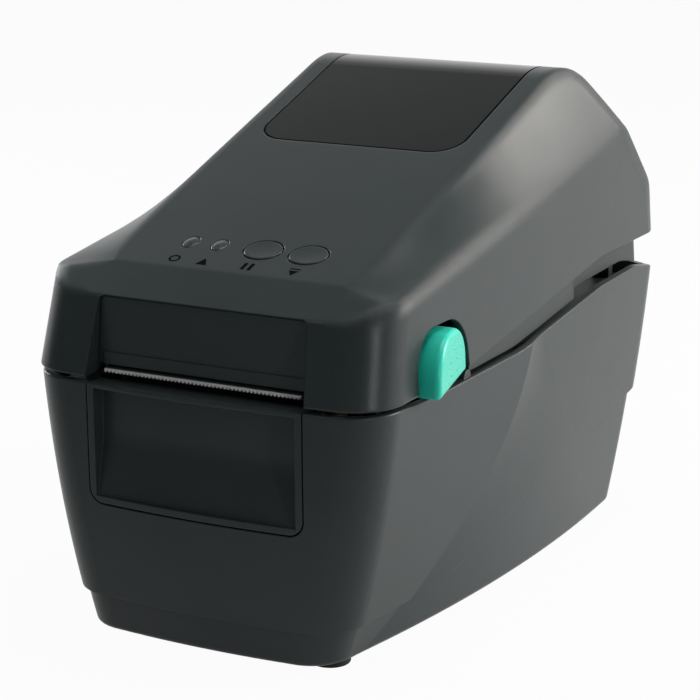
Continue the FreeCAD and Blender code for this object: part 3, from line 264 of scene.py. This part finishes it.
@dataclass(frozen=True)
class Moulded:
    """Injection-moulded plastic with a spark-eroded grain and a faint mottle."""

    name: str
    colour: Colour
    rough: float = 0.45
    gloss: float = 0.5
    mottle: float = 0.06
    mottle_per_m: float = 45.0
    rough_swing: float = 0.05
    grain_per_m: float = 2600.0
    grain_depth: float = 0.00006
    grain_share: float = 0.25
    glow_through: float = 0.0
    glow_radius: Colour = (0.4, 1.0, 0.8)
    glow_depth: float = 0.0015
    edge_r: float = 0.0
    crest_r: float = 0.0

    def make(self) -> bpy.types.Material:
        """Builds the material.

        Returns:
            The new material.
        """
        material = bpy.data.materials.new(self.name)
        tree, shader = linked_nodes(material)
        low = tuple(c * (1 - self.mottle) for c in self.colour)
        high = tuple(c * (1 + self.mottle) for c in self.colour)
        mottle = noise(tree, self.mottle_per_m, 3.0)
        tree.links.new(ramp(tree, mottle, low, high).outputs["Color"], shader.inputs["Base Color"])
        grain = noise(tree, self.grain_per_m, 2.0)
        finish = span(tree, grain, self.rough - self.rough_swing, self.rough + self.rough_swing)
        tree.links.new(finish.outputs["Result"], shader.inputs["Roughness"])
        bump(tree, grain, shader, self.grain_depth, self.grain_share, self.edge_r, self.crest_r)
        shader.inputs["Specular IOR Level"].default_value = self.gloss
        if self.glow_through > 0:
            shader.inputs["Subsurface Weight"].default_value = self.glow_through
            shader.inputs["Subsurface Radius"].default_value = self.glow_radius
            shader.inputs["Subsurface Scale"].default_value = self.glow_depth
        return material


@dataclass(frozen=True)
class Metal:
    """Plated, drawn or turned metal with fine lines along one axis."""

    name: str
    colour: Colour
    rough: float = 0.3
    rough_swing: float = 0.08
    line_stretch: Colour = (1.0, 30.0, 30.0)
    lines_per_m: float = 180.0
    line_depth: float = 0.00002
    line_share: float = 0.2
    shade: float = 0.9

    def make(self) -> bpy.types.Material:
        """Builds the material.

        Returns:
            The new material.
        """
        material = bpy.data.materials.new(self.name)
        tree, shader = linked_nodes(material)
        shader.inputs["Metallic"].default_value = 1.0
        lines = noise(tree, self.lines_per_m, 4.0, self.line_stretch)
        low = tuple(c * self.shade for c in self.colour)
        tree.links.new(ramp(tree, lines, low, self.colour).outputs["Color"], shader.inputs["Base Color"])
        finish = span(tree, lines, self.rough - self.rough_swing, self.rough + self.rough_swing)
        tree.links.new(finish.outputs["Result"], shader.inputs["Roughness"])
        bump(tree, lines, shader, self.line_depth, self.line_share)
        return material


@dataclass(frozen=True)
class ToothedEdge:
    """Plated blade in painted light: painted shade on its flat, a painted highlight on its teeth."""

    name: str
    # flat is a painted shade on the blade's flat face; ground is a painted highlight on the teeth.
    flat: Colour
    ground: Colour
    flat_y: float
    tooth_y: float
    rough: float = 0.4
    rough_swing: float = 0.08
    line_stretch: Colour = (12.0, 1.0, 1.0)
    lines_per_m: float = 180.0
    shade: float = 0.8
    metallic: float = 0.2

    def make(self) -> bpy.types.Material:
        """Builds the material.

        Returns:
            The new material.
        """
        material = bpy.data.materials.new(self.name)
        tree, shader = linked_nodes(material)
        lines = noise(tree, self.lines_per_m, 4.0, self.line_stretch)
        low = tuple(c * self.shade for c in self.flat)
        # Painted light: the painted shade of the flat fades along Y into the painted highlight of the teeth.
        mix = tree.nodes.new("ShaderNodeMix")
        mix.data_type = "RGBA"
        tree.links.new(faded(tree, "Y", self.flat_y, self.tooth_y), mix.inputs["Factor"])
        tree.links.new(ramp(tree, lines, low, self.flat).outputs["Color"], mix.inputs["A"])
        mix.inputs["B"].default_value = (*self.ground, 1)
        tree.links.new(mix.outputs["Result"], shader.inputs["Base Color"])
        shader.inputs["Metallic"].default_value = self.metallic
        finish = span(tree, lines, self.rough - self.rough_swing, self.rough + self.rough_swing)
        tree.links.new(finish.outputs["Result"], shader.inputs["Roughness"])
        return material


@dataclass(frozen=True)
class Smoked:
    """Smoked clear sheet, nearly black, polished on both sides."""

    name: str
    colour: Colour
    rough: float = 0.1
    rough_swing: float = 0.03
    gloss: float = 0.35
    haze_per_m: float = 12.0
    haze_gain: float = 1.25

    def make(self) -> bpy.types.Material:
        """Builds the material.

        Returns:
            The new material.
        """
        material = bpy.data.materials.new(self.name)
        tree, shader = linked_nodes(material)
        haze = noise(tree, self.haze_per_m, 2.0)
        high = tuple(c * self.haze_gain for c in self.colour)
        tree.links.new(ramp(tree, haze, self.colour, high).outputs["Color"], shader.inputs["Base Color"])
        finish = span(tree, haze, self.rough, self.rough + self.rough_swing)
        tree.links.new(finish.outputs["Result"], shader.inputs["Roughness"])
        shader.inputs["Specular IOR Level"].default_value = self.gloss
        return material


@dataclass(frozen=True)
class Frosted:
    """Frosted light-guide plastic of the lamp lenses."""

    name: str
    colour: Colour
    frost_per_m: float = 900.0
    frost_gain: float = 1.2
    frost_depth: float = 0.00003
    frost_share: float = 0.3
    rough_low: float = 0.2
    rough_high: float = 0.32
    clear: float = 0.25

    def make(self) -> bpy.types.Material:
        """Builds the material.

        Returns:
            The new material.
        """
        material = bpy.data.materials.new(self.name)
        tree, shader = linked_nodes(material)
        frost = noise(tree, self.frost_per_m, 3.0)
        high = tuple(c * self.frost_gain for c in self.colour)
        tree.links.new(ramp(tree, frost, self.colour, high).outputs["Color"], shader.inputs["Base Color"])
        finish = span(tree, frost, self.rough_low, self.rough_high)
        tree.links.new(finish.outputs["Result"], shader.inputs["Roughness"])
        bump(tree, frost, shader, self.frost_depth, self.frost_share)
        shader.inputs["Transmission Weight"].default_value = self.clear
        return material


@dataclass(frozen=True)
class Laminate:
    """Printed circuit board: solder mask with copper lanes showing through."""

    name: str
    mask: Colour
    lane: Colour
    cells_per_m: float = 140.0
    lane_w: float = 0.03
    shade: float = 0.85
    rough: float = 0.35

    def make(self) -> bpy.types.Material:
        """Builds the material.

        Returns:
            The new material.
        """
        material = bpy.data.materials.new(self.name)
        tree, shader = linked_nodes(material)
        place = tree.nodes.new("ShaderNodeTexCoord")
        lanes = tree.nodes.new("ShaderNodeTexBrick")
        lanes.inputs["Scale"].default_value = self.cells_per_m
        lanes.inputs["Mortar Size"].default_value = self.lane_w
        lanes.inputs["Color1"].default_value = (*self.mask, 1)
        lanes.inputs["Color2"].default_value = (*(c * self.shade for c in self.mask), 1)
        lanes.inputs["Mortar"].default_value = (*self.lane, 1)
        turn = tree.nodes.new("ShaderNodeMapping")
        turn.inputs["Rotation"].default_value = (0, math.radians(90), 0)
        tree.links.new(place.outputs["Object"], turn.inputs["Vector"])
        tree.links.new(turn.outputs["Vector"], lanes.inputs["Vector"])
        tree.links.new(lanes.outputs["Color"], shader.inputs["Base Color"])
        shader.inputs["Roughness"].default_value = self.rough
        return material


CHARCOAL = Moulded("charcoal_plastic", (0.032, 0.041, 0.042), rough=0.33, gloss=0.35, edge_r=0.0005)
COVER_CHARCOAL = Moulded("cover_plastic", (0.032, 0.041, 0.042), rough=0.33, gloss=0.35, edge_r=0.0006,
                         crest_r=0.006)
CHARCOAL_LINER = Moulded("liner_plastic", (0.042, 0.052, 0.053), rough=0.5, gloss=0.3, edge_r=0.0003)
BUTTON_GREY = Moulded("button_plastic", (0.034, 0.043, 0.044), rough=0.33, gloss=0.35, grain_share=0.15)
MINT = Moulded("mint_plastic", (0.03, 0.74, 0.56), rough=0.3, gloss=0.4, mottle=0.03, grain_share=0.06,
               glow_through=0.2, edge_r=0.0006)
GUIDE_MINT = Moulded("guide_plastic", (0.015, 0.42, 0.29), rough=0.4, mottle=0.03, grain_share=0.12,
                     edge_r=0.0003)
WINDOW = Smoked("smoked_window", (0.008, 0.0075, 0.0078))
LENS = Frosted("lamp_lens", (0.055, 0.068, 0.075))
INK = Moulded("printed_ink", (0.002, 0.002, 0.002), rough=0.9, gloss=0.05, mottle=0.1, grain_share=0.1)
STEEL = Metal("plated_steel", (0.62, 0.63, 0.64))
DARK_STEEL = Metal("phosphated_steel", (0.035, 0.036, 0.038), rough=0.6)
# Tear bar with painted light: a dark painted shade on the flat and a bright painted highlight on the teeth.
TEAR_BAR_PAINTED_LIGHT = ToothedEdge("tear_bar_painted_light", (0.03, 0.031, 0.032), (0.95, 0.95, 0.94), 102.6 * MM, 103.3 * MM)
WIRE = Metal("spring_wire", (0.55, 0.55, 0.57), rough=0.22)
ALUMINIUM = Metal("extruded_aluminium", (0.66, 0.67, 0.68), rough=0.38)
BRASS = Metal("turned_brass", (0.62, 0.46, 0.2), rough=0.28)
GLAZE = Moulded("head_glaze", (0.16, 0.10, 0.07), rough=0.15, grain_share=0.04)
PLATEN_RUBBER = Moulded("platen_rubber", (0.022, 0.022, 0.023), rough=0.7, gloss=0.3, grain_per_m=1500.0)
FOOT_RUBBER = Moulded("foot_rubber", (0.03, 0.03, 0.031), rough=0.8, gloss=0.25, grain_per_m=900.0,
                      grain_share=0.4)
GEAR_WHITE = Moulded("gear_plastic", (0.62, 0.61, 0.57), rough=0.4, grain_share=0.1)
BLACK = Moulded("black_plastic", (0.012, 0.012, 0.013), rough=0.45, gloss=0.3, edge_r=0.0003)
BOARD = Laminate("circuit_board", (0.012, 0.09, 0.035), (0.05, 0.19, 0.07))

NODE_FINISH = {
    CHARCOAL: ("base_shell", "front_panel", "head_panel", "bottom_tray"),
    COVER_CHARCOAL: ("cover_shell",),
    CHARCOAL_LINER: ("cover_liner", "media_well", "hinge_ear_left", "hinge_ear_right", "hinge_knuckle_left",
                     "hinge_knuckle_right"),
    BUTTON_GREY: ("button_pause", "button_feed"),
    LENS: ("lamp_power", "lamp_data"),
    WINDOW: ("cover_window",),
    MINT: ("latch_tab_left", "latch_tab_right"),
    GUIDE_MINT: ("guide_left", "guide_right"),
    TEAR_BAR_PAINTED_LIGHT: ("tear_bar",),
    STEEL: ("latch_shaft", "latch_hook_left", "latch_hook_right", "head_pivot", "hinge_pin_left",
            "hinge_pin_right", "catch_pin_left", "catch_pin_right", "platen_shaft", "idler_post", "tray_screws",
            "head_frame", "head_bracket", "media_path", "motor", "data_port"),
    DARK_STEEL: ("side_frame_left", "side_frame_right"),
    WIRE: ("latch_spring", "head_spring_left", "head_spring_right"),
    GLAZE: ("print_head",),
    ALUMINIUM: ("heat_sink",),
    BRASS: ("bearing_left", "bearing_right", "motor_pinion"),
    PLATEN_RUBBER: ("platen_roller",),
    FOOT_RUBBER: ("rubber_feet",),
    GEAR_WHITE: ("platen_gear", "idler_gear", "guide_pinion"),
    BOARD: ("button_board", "main_board"),
    BLACK: ("port_panel", "power_inlet", "switch_body", "switch_rocker", "gap_sensor"),
}


@dataclass
class FinishRack:
    """Keeps one built material for each finish."""

    built: dict[str, bpy.types.Material] = field(default_factory=dict)

    def of(self, finish: Moulded | Metal | ToothedEdge | Smoked | Frosted | Laminate) -> bpy.types.Material:
        """Gives a finish's material, built at its first use.

        Args:
            finish: the finish that is asked for.

        Returns:
            Its material.
        """
        if finish.name not in self.built:
            self.built[finish.name] = finish.make()
        return self.built[finish.name]

    def dress_nodes(self) -> None:
        """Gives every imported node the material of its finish."""
        for finish, names in NODE_FINISH.items():
            for name in names:
                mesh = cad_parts[name].data
                mesh.materials.clear()
                mesh.materials.append(self.of(finish))
        LOG.info("dressed %d packed nodes", len(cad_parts))


def surface(name: str, points: np.ndarray, round_u: bool, round_v: bool) -> bpy.types.Object:
    """Makes a mesh of quads from a grid of points.

    Each grid cell between neighbours in the two parameters is one face; a round parameter closes on itself.

    Args:
        name: the piece's name.
        points: array of shape (rows, columns, 3), in metres.
        round_u: True where the last row joins the first.
        round_v: True where the last column joins the first.

    Returns:
        The new object, at the origin.
    """
    rows, columns = points.shape[:2]
    index = np.arange(rows * columns).reshape(rows, columns)
    if round_u:
        index = np.vstack([index, index[:1]])
    if round_v:
        index = np.hstack([index, index[:, :1]])
    faces = np.stack([index[:-1, :-1], index[:-1, 1:], index[1:, 1:], index[1:, :-1]], axis=-1).reshape(-1, 4)
    mesh = bpy.data.meshes.new(name)
    mesh.from_pydata(points.reshape(-1, 3).tolist(), [], faces.tolist())
    mesh.polygons.foreach_set("use_smooth", np.ones(len(mesh.polygons), dtype=bool))
    mesh.update()
    piece = bpy.data.objects.new(name, mesh)
    bpy.context.scene.collection.objects.link(piece)
    return piece


def joined(name: str, pieces: list[bpy.types.Object]) -> bpy.types.Object:
    """Joins pieces into one and names it.

    Args:
        name: the joined piece's name.
        pieces: the objects to join.

    Returns:
        The joined object.
    """
    bpy.ops.object.select_all(action="DESELECT")
    for piece in pieces:
        piece.select_set(True)
    bpy.context.view_layer.objects.active = pieces[0]
    bpy.ops.object.join()
    pieces[0].name = name
    return pieces[0]


def welded(piece: bpy.types.Object) -> bpy.types.Object:
    """Merges doubled points and turns every face outwards.

    Args:
        piece: a closed mesh with doubled poles or seams.

    Returns:
        The same object.
    """
    bpy.ops.object.select_all(action="DESELECT")
    piece.select_set(True)
    bpy.context.view_layer.objects.active = piece
    bpy.ops.object.mode_set(mode="EDIT")
    bpy.ops.mesh.select_all(action="SELECT")
    bpy.ops.mesh.remove_doubles(threshold=1e-6)
    bpy.ops.mesh.normals_make_consistent(inside=False)
    bpy.ops.object.mode_set(mode="OBJECT")
    return piece


@dataclass
class TopPlane:
    """The sloping top face that carries the lamps and buttons."""

    front_y: float = -88.3 * MM
    front_z: float = 107.6 * MM
    slope: float = 0.33

    def place(self, local: np.ndarray, x: float, y: float) -> np.ndarray:
        """Sets points drawn about the origin on the top face.

        The points turn about X by the slope's angle and move to the face at (x, y).

        Args:
            local: points, with their last axis holding x, y, z.
            x: place across the printer.
            y: place along the printer.

        Returns:
            The placed points.
        """
        tilt = math.atan(self.slope)
        turn = np.array([[1, 0, 0], [0, math.cos(tilt), -math.sin(tilt)], [0, math.sin(tilt), math.cos(tilt)]])
        return local @ turn.T + np.array([x, y, self.front_z + self.slope * (y - self.front_y)])


@dataclass
class ControlPanel:
    """Buttons, lamp lenses and printed marks on the sloping top."""

    rack: FinishRack
    plane: TopPlane = field(default_factory=TopPlane)
    button_y: float = -75.2 * MM
    half_x: float = 5.8 * MM
    half_y: float = 5.1 * MM
    proud: float = 0.2 * MM
    depth: float = 3.0 * MM
    dish: float = 0.15 * MM
    rim: float = 0.45 * MM
    lamp_half_x: float = 2.4 * MM
    lamp_half_y: float = 3.1 * MM
    lamp_crown: float = 0.3 * MM
    lamp_proud: float = 0.1 * MM
    lamp_x: tuple[float, float] = (-19.6 * MM, -10.1 * MM)
    button_x: tuple[float, float] = (4.3 * MM, 18.9 * MM)
    mark_drop: float = 9.0 * MM
    mark_size: float = 1.8 * MM
    mark_lift: float = 0.04 * MM
    bar_half: float = 0.3
    bar_off: float = 0.6
    arrow_half: float = 0.9
    arrow_rise: float = 0.7
    arrow_drop: float = 0.4
    line_half: float = 0.15
    line_up: float = 0.85
    ring_hole: float = 0.65
    ring_steps: int = 33
    face_rings: int = 14
    rim_rings: int = 6
    around: int = 64

    def cap(self, name: str, x: float, half_x: float, half_y: float, dish: float,
            proud: float) -> bpy.types.Object:
        """Makes a cap with a dished or crowned face, a rounded rim and a wall into the cover.

        Each ring is an ellipse. The radius share runs 0 to 1 over the face, the height falls by the dish at the
        middle, follows a quarter circle at the rim and then goes straight down.

        Args:
            name: the piece's name.
            x: place across the printer.
            half_x: half width of the cap.
            half_y: half length of the cap.
            dish: depth of the middle under the rim, negative for a crown.
            proud: height of the rim over the top face.

        Returns:
            The cap.
        """
        rim = self.rim
        share = np.linspace(0, 1, self.face_rings)
        turn = np.linspace(0, math.pi / 2, self.rim_rings + 1)[1:]
        inset = np.concatenate([1 - share, np.zeros(self.rim_rings + 1)])
        out = np.concatenate([np.zeros(self.face_rings), rim * np.sin(turn), [rim]])
        height = np.concatenate([
            proud - dish * (1 - share**2),
            proud - rim * (1 - np.cos(turn)),
            [-self.depth],
        ])
        angle = np.linspace(0, 2 * math.pi, self.around, endpoint=False)
        across = ((half_x - rim) * (1 - inset) + out)[:, None] * np.cos(angle)
        along = ((half_y - rim) * (1 - inset) + out)[:, None] * np.sin(angle)
        local = np.stack([across, along, np.broadcast_to(height[:, None], across.shape)], axis=-1)
        return welded(surface(name, self.plane.place(local, x, self.button_y), False, True))

    def mark(self, kind: Mark, x: float) -> bpy.types.Object:
        """Makes one printed pictogram, a film a few hundredths of a millimetre thick.

        A bar is a flat grid, a ring is a band of constant width about a centre, and a triangle is a grid whose
        width shrinks evenly to a point.

        Args:
            kind: which pictogram.
            x: place across the printer.

        Returns:
            The printed mark.
        """
        u, v = np.meshgrid(np.linspace(-1, 1, 3), np.linspace(-1, 1, 3), indexing="ij")
        flat: list[np.ndarray] = []
        if kind is Mark.PAUSE:
            sides = (-self.bar_off, self.bar_off)
            flat = [np.stack([self.bar_half * u + side, v, 0 * u], -1) for side in sides]
        elif kind is Mark.FEED:
            half = self.arrow_half * (v + 1) / 2
            flat = [np.stack([u * half, v * self.arrow_rise - self.arrow_drop, 0 * u], -1)]
            flat.append(np.stack([u * self.arrow_half, self.line_half * v + self.line_up, 0 * u], -1))
        elif kind is Mark.ALERT:
            flat = [np.stack([u * (1 - v) / 2, v, 0 * u], -1)]
        else:
            turn = np.linspace(0, 2 * math.pi, self.ring_steps)
            band = np.linspace(self.ring_hole, 1.0, 3)
            across = np.outer(band, np.cos(turn))
            flat = [np.stack([across, np.outer(band, np.sin(turn)), 0 * across], -1)]
        films = []
        for i, shape in enumerate(flat):
            local = shape * self.mark_size + np.array([0, 0, self.mark_lift])
            placed = self.plane.place(local, x, self.button_y - self.mark_drop)
            films.append(surface(f"mark_{i}", placed, False, False))
        return joined(f"mark_{kind.value}", films)

    def build(self) -> None:
        """Builds the caps, lenses and marks and sets them on their bodies."""
        for node, body, x in zip(("button_pause", "button_feed"), (Body.PAUSE, Body.FEED), self.button_x):
            cap = self.cap(node + "_cap", x, self.half_x, self.half_y, self.dish, self.proud)
            cap.data.materials.append(self.rack.of(BUTTON_GREY))
            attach(cap, body.value)
            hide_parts(node)
            LOG.info("built %s", cap.name)
        for node, x in zip(("lamp_power", "lamp_data"), self.lamp_x):
            lens = self.cap(node + "_lens", x, self.lamp_half_x, self.lamp_half_y, -self.lamp_crown,
                            self.lamp_proud)
            lens.data.materials.append(self.rack.of(LENS))
            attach(lens, Body.COVER.value)
            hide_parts(node)
            LOG.info("built %s", lens.name)
        for kind, x in zip((Mark.POWER, Mark.ALERT, Mark.PAUSE, Mark.FEED), self.lamp_x + self.button_x):
            print_film = self.mark(kind, x)
            print_film.data.materials.append(self.rack.of(INK))
            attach(print_film, Body.COVER.value)
            LOG.info("built %s", print_film.name)


@dataclass
class LatchGrip:
    """Small round bumps on the outer face of each latch tab."""

    rack: FinishRack
    bump_r: float = 0.9 * MM
    bump_h: float = 0.6 * MM
    bump_sink: float = 0.12 * MM
    tab_root_x: float = 57.3 * MM
    rings: int = 7
    around: int = 20
    spots_mm: tuple[tuple[float, float], ...] = (
        (-66.5, 88.0),
        (-69.5, 84.6),
        (-63.5, 84.6),
        (-69.5, 81.0),
        (-63.5, 81.0),
    )

    def build(self) -> None:
        """Builds the bumps of both tabs.

        A bump is round in side view, and its height falls as a cosine from its middle to its rim. The height is
        measured straight out along X from the slanting outer face of the tab.
        """
        for side, name in ((1, "right"), (-1, "left")):
            low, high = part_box(f"latch_tab_{name}")
            out_front = high.x if side > 0 else -low.x
            front_y, rear_y = low.y, high.y
            lean = (out_front - self.tab_root_x) / (rear_y - front_y)
            turns = np.linspace(0, 2 * math.pi, self.around, endpoint=False)
            radius, turn = np.meshgrid(np.linspace(0, 1, self.rings), turns, indexing="ij")
            height = self.bump_h * np.cos(radius * math.pi / 2)
            bumps = []
            for i, (y, z) in enumerate(self.spots_mm):
                along = y * MM + radius * self.bump_r * np.cos(turn)
                up = z * MM + radius * self.bump_r * np.sin(turn)
                out = out_front - lean * (along - front_y) + height - self.bump_sink
                points = np.stack([side * out, along, up], axis=-1)
                bumps.append(surface(f"bump_{i}", points, False, True))
            grip = welded(joined(f"latch_grip_{name}", bumps))
            grip.data.materials.append(self.rack.of(MINT))
            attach(grip, Body.LATCH.value)
            LOG.info("built %s", grip.name)


@dataclass
class Feet:
    """Four turned rubber feet with a rounded foot edge and a grip ring underneath."""

    rack: FinishRack
    radius: float = 5.9 * MM
    height: float = 3.1 * MM
    edge: float = 0.6 * MM
    top_edge: float = 0.3 * MM
    groove_h: float = 0.5 * MM
    groove_at: float = 0.55
    groove_w: float = 0.1
    around: int = 48
    side_x: float = 35.0 * MM
    rows_y: tuple[float, float] = (-93.0 * MM, 66.0 * MM)

    def build(self) -> None:
        """Builds the feet.

        Each foot is a profile turned about a vertical axis: a flat sole with a shallow ring groove, a
        quarter-round edge and a straight wall.
        """
        groove = np.linspace(0, math.pi, 7)
        turn = np.linspace(0, math.pi / 2, 7)
        sole_r = self.radius - self.edge
        groove_r = sole_r * (self.groove_at + self.groove_w * groove / math.pi)
        radii = np.concatenate([[0.0], groove_r, sole_r + self.edge * np.sin(turn),
                                [self.radius, self.radius - self.top_edge, 0.0]])
        heights = np.concatenate([[0.0], self.groove_h * np.sin(groove), self.edge * (1 - np.cos(turn)),
                                  [self.height - self.top_edge, self.height, self.height]])
        angle = np.linspace(0, 2 * math.pi, self.around, endpoint=False)
        spots = [(side * self.side_x, y) for side in (-1, 1) for y in self.rows_y]
        feet = []
        for i, (x, y) in enumerate(spots):
            points = np.stack([x + np.outer(radii, np.cos(angle)), y + np.outer(radii, np.sin(angle)),
                               np.broadcast_to(heights[:, None], (len(radii), self.around))], axis=-1)
            feet.append(surface(f"foot_{i}", points, False, True))
        piece = welded(joined("moulded_feet", feet))
        piece.data.materials.append(self.rack.of(FOOT_RUBBER))
        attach(piece, Body.BASE.value)
        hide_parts("rubber_feet")
        LOG.info("built %s", piece.name)


@dataclass(frozen=True)
class SoftBox:
    """One soft lamp: where it stands, what it faces, its size in metres, power in watts and colour."""

    name: str
    at: Colour
    aim: Colour
    size: tuple[float, float]
    power: float
    tint: Colour = (1.0, 1.0, 1.0)


SOFT_BOXES = (
    SoftBox("box_right", (0.8, 0.65, 0.45), (0, 0, 0.08), (0.5, 0.5), 11.0, (1.0, 0.95, 0.9)),
    SoftBox("box_top", (0.1, 0.1, 1.0), (0, 0, 0.1), (0.5, 0.5), 3.6),
    SoftBox("strip_left", (-0.85, 0.3, 0.4), (0, -0.05, 0.09), (0.2, 0.5), 2.6, (0.95, 1.0, 1.0)),
    SoftBox("strip_front", (-0.15, -0.42, 0.75), (0, -0.1, 0.03), (0.3, 0.05), 0.3),
    SoftBox("strip_corner", (0.92, -0.5, 0.3), (0, -0.05, 0.09), (0.08, 0.4), 1.3),
)


@dataclass
class Studio:
    """Camera, soft lamps, pale floor and white surround."""

    camera_at: Colour = (0.3184, -0.6225, 0.2474)
    azimuth: float = 27.627
    elevation: float = 14.631
    focal_px: float = 2280.0
    frame_px: float = 700.0
    sensor_mm: float = 36.0
    clip_near: float = 0.01
    dim_tint: Colour = (0.88, 0.97, 1.0)
    dim_level: float = 0.13
    backdrop_y: tuple[float, float] = (-0.1, 0.45)
    backdrop_z: tuple[float, float] = (0.8, 0.3)
    floor_reach: float = 6.0
    floor_shade: float = 0.45
    floor_rough: float = 0.9
    floor_glow: float = 1.02
    floor_share: float = 0.94
    floor_fade_y: tuple[float, float] = (-0.35, 0.1)

    def camera(self) -> None:
        """Sets the camera at the photograph's angle."""
        lens = bpy.data.cameras.new("camera")
        lens.sensor_width = self.sensor_mm
        lens.lens = self.focal_px / self.frame_px * lens.sensor_width
        lens.clip_start = self.clip_near
        eye = bpy.data.objects.new("camera", lens)
        eye.location = self.camera_at
        eye.rotation_euler = (math.radians(90 - self.elevation), 0, math.radians(self.azimuth))
        bpy.context.scene.collection.objects.link(eye)
        bpy.context.scene.camera = eye

    def lamp(self, box: SoftBox) -> None:
        """Adds one soft box.

        Args:
            box: the lamp to add.
        """
        light = bpy.data.lights.new(box.name, "AREA")
        light.shape = "RECTANGLE"
        light.size, light.size_y = box.size
        light.energy = box.power
        light.color = box.tint
        holder = bpy.data.objects.new(box.name, light)
        holder.location = box.at
        away = np.array(box.at) - np.array(box.aim)
        level = math.hypot(away[0], away[1])
        holder.rotation_euler = (math.atan2(level, away[2]), 0, math.atan2(away[0], -away[1]))
        bpy.context.scene.collection.objects.link(holder)

    def seen(self, tree: bpy.types.NodeTree, behind: bpy.types.NodeSocket) -> bpy.types.NodeSocket:
        """Tells rays that look at the surround from rays that light the object.

        Args:
            tree: the node tree to add to.
            behind: 1 where the white backdrop stands, 0 on the camera's side of the studio.

        Returns:
            A socket that is 1 for camera and transmission rays, the backdrop's share for gloss, and 0 for
            the rest.
        """
        path = tree.nodes.new("ShaderNodeLightPath")
        gloss = combined(tree, "MULTIPLY", path.outputs["Is Glossy Ray"], behind)
        clear = combined(tree, "MAXIMUM", path.outputs["Is Camera Ray"], path.outputs["Is Transmission Ray"])
        return combined(tree, "MAXIMUM", clear, gloss)

    def surround(self) -> None:
        """Makes the world a white backdrop to the camera and to gloss, and dim to everything else."""
        world = bpy.data.worlds.new("surround")
        world.use_nodes = True
        tree = world.node_tree
        dim = tree.nodes["Background"]
        dim.inputs["Color"].default_value = (*self.dim_tint, 1)
        dim.inputs["Strength"].default_value = self.dim_level
        white = tree.nodes.new("ShaderNodeBackground")
        white.inputs["Color"].default_value = (1, 1, 1, 1)
        white.inputs["Strength"].default_value = 1.0
        look = tree.nodes.new("ShaderNodeTexCoord")
        parts = tree.nodes.new("ShaderNodeSeparateXYZ")
        tree.links.new(look.outputs["Generated"], parts.inputs["Vector"])
        rear = smooth_step(tree, parts.outputs["Y"], *self.backdrop_y)
        low = smooth_step(tree, parts.outputs["Z"], *self.backdrop_z)
        behind = combined(tree, "MULTIPLY", rear, low)
        mix = tree.nodes.new("ShaderNodeMixShader")
        tree.links.new(self.seen(tree, behind), mix.inputs["Fac"])
        tree.links.new(dim.outputs["Background"], mix.inputs[1])
        tree.links.new(white.outputs["Background"], mix.inputs[2])
        tree.links.new(mix.outputs["Shader"], tree.nodes["World Output"].inputs["Surface"])
        bpy.context.scene.world = world

    def floor(self) -> None:
        """Lays a wide pale floor that is near white to the camera and still takes the shadow."""
        side = np.linspace(-self.floor_reach, self.floor_reach, 3)
        u, v = np.meshgrid(side, side, indexing="ij")
        ground = surface("floor", np.stack([u, v, np.zeros_like(u)], -1)[::-1], False, False)
        material = bpy.data.materials.new("pale_floor")
        tree, shader = linked_nodes(material)
        shader.inputs["Base Color"].default_value = (self.floor_shade, self.floor_shade, self.floor_shade, 1)
        shader.inputs["Roughness"].default_value = self.floor_rough
        shader.inputs["Specular IOR Level"].default_value = 0.0
        glow = tree.nodes.new("ShaderNodeEmission")
        glow.inputs["Strength"].default_value = self.floor_glow
        place = tree.nodes.new("ShaderNodeTexCoord")
        parts = tree.nodes.new("ShaderNodeSeparateXYZ")
        tree.links.new(place.outputs["Object"], parts.inputs["Vector"])
        behind = smooth_step(tree, parts.outputs["Y"], *self.floor_fade_y)
        share = tree.nodes.new("ShaderNodeMath")
        share.operation = "MULTIPLY"
        share.inputs[1].default_value = self.floor_share
        mix = tree.nodes.new("ShaderNodeMixShader")
        tree.links.new(self.seen(tree, behind), share.inputs[0])
        tree.links.new(share.outputs["Value"], mix.inputs["Fac"])
        tree.links.new(shader.outputs["BSDF"], mix.inputs[1])
        tree.links.new(glow.outputs["Emission"], mix.inputs[2])
        tree.links.new(mix.outputs["Shader"], tree.nodes["Material Output"].inputs["Surface"])
        ground.data.materials.append(material)

    def build(self) -> None:
        """Sets up the whole studio."""
        self.camera()
        for box in SOFT_BOXES:
            self.lamp(box)
        self.surround()
        self.floor()
        bpy.context.scene.view_settings.view_transform = "Standard"


def main() -> None:
    logging.basicConfig(level=logging.INFO)
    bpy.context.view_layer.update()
    rack = FinishRack()
    rack.dress_nodes()
    ControlPanel(rack).build()
    LatchGrip(rack).build()
    Feet(rack).build()
    Studio().build()


if __name__ == "__main__":
    main()
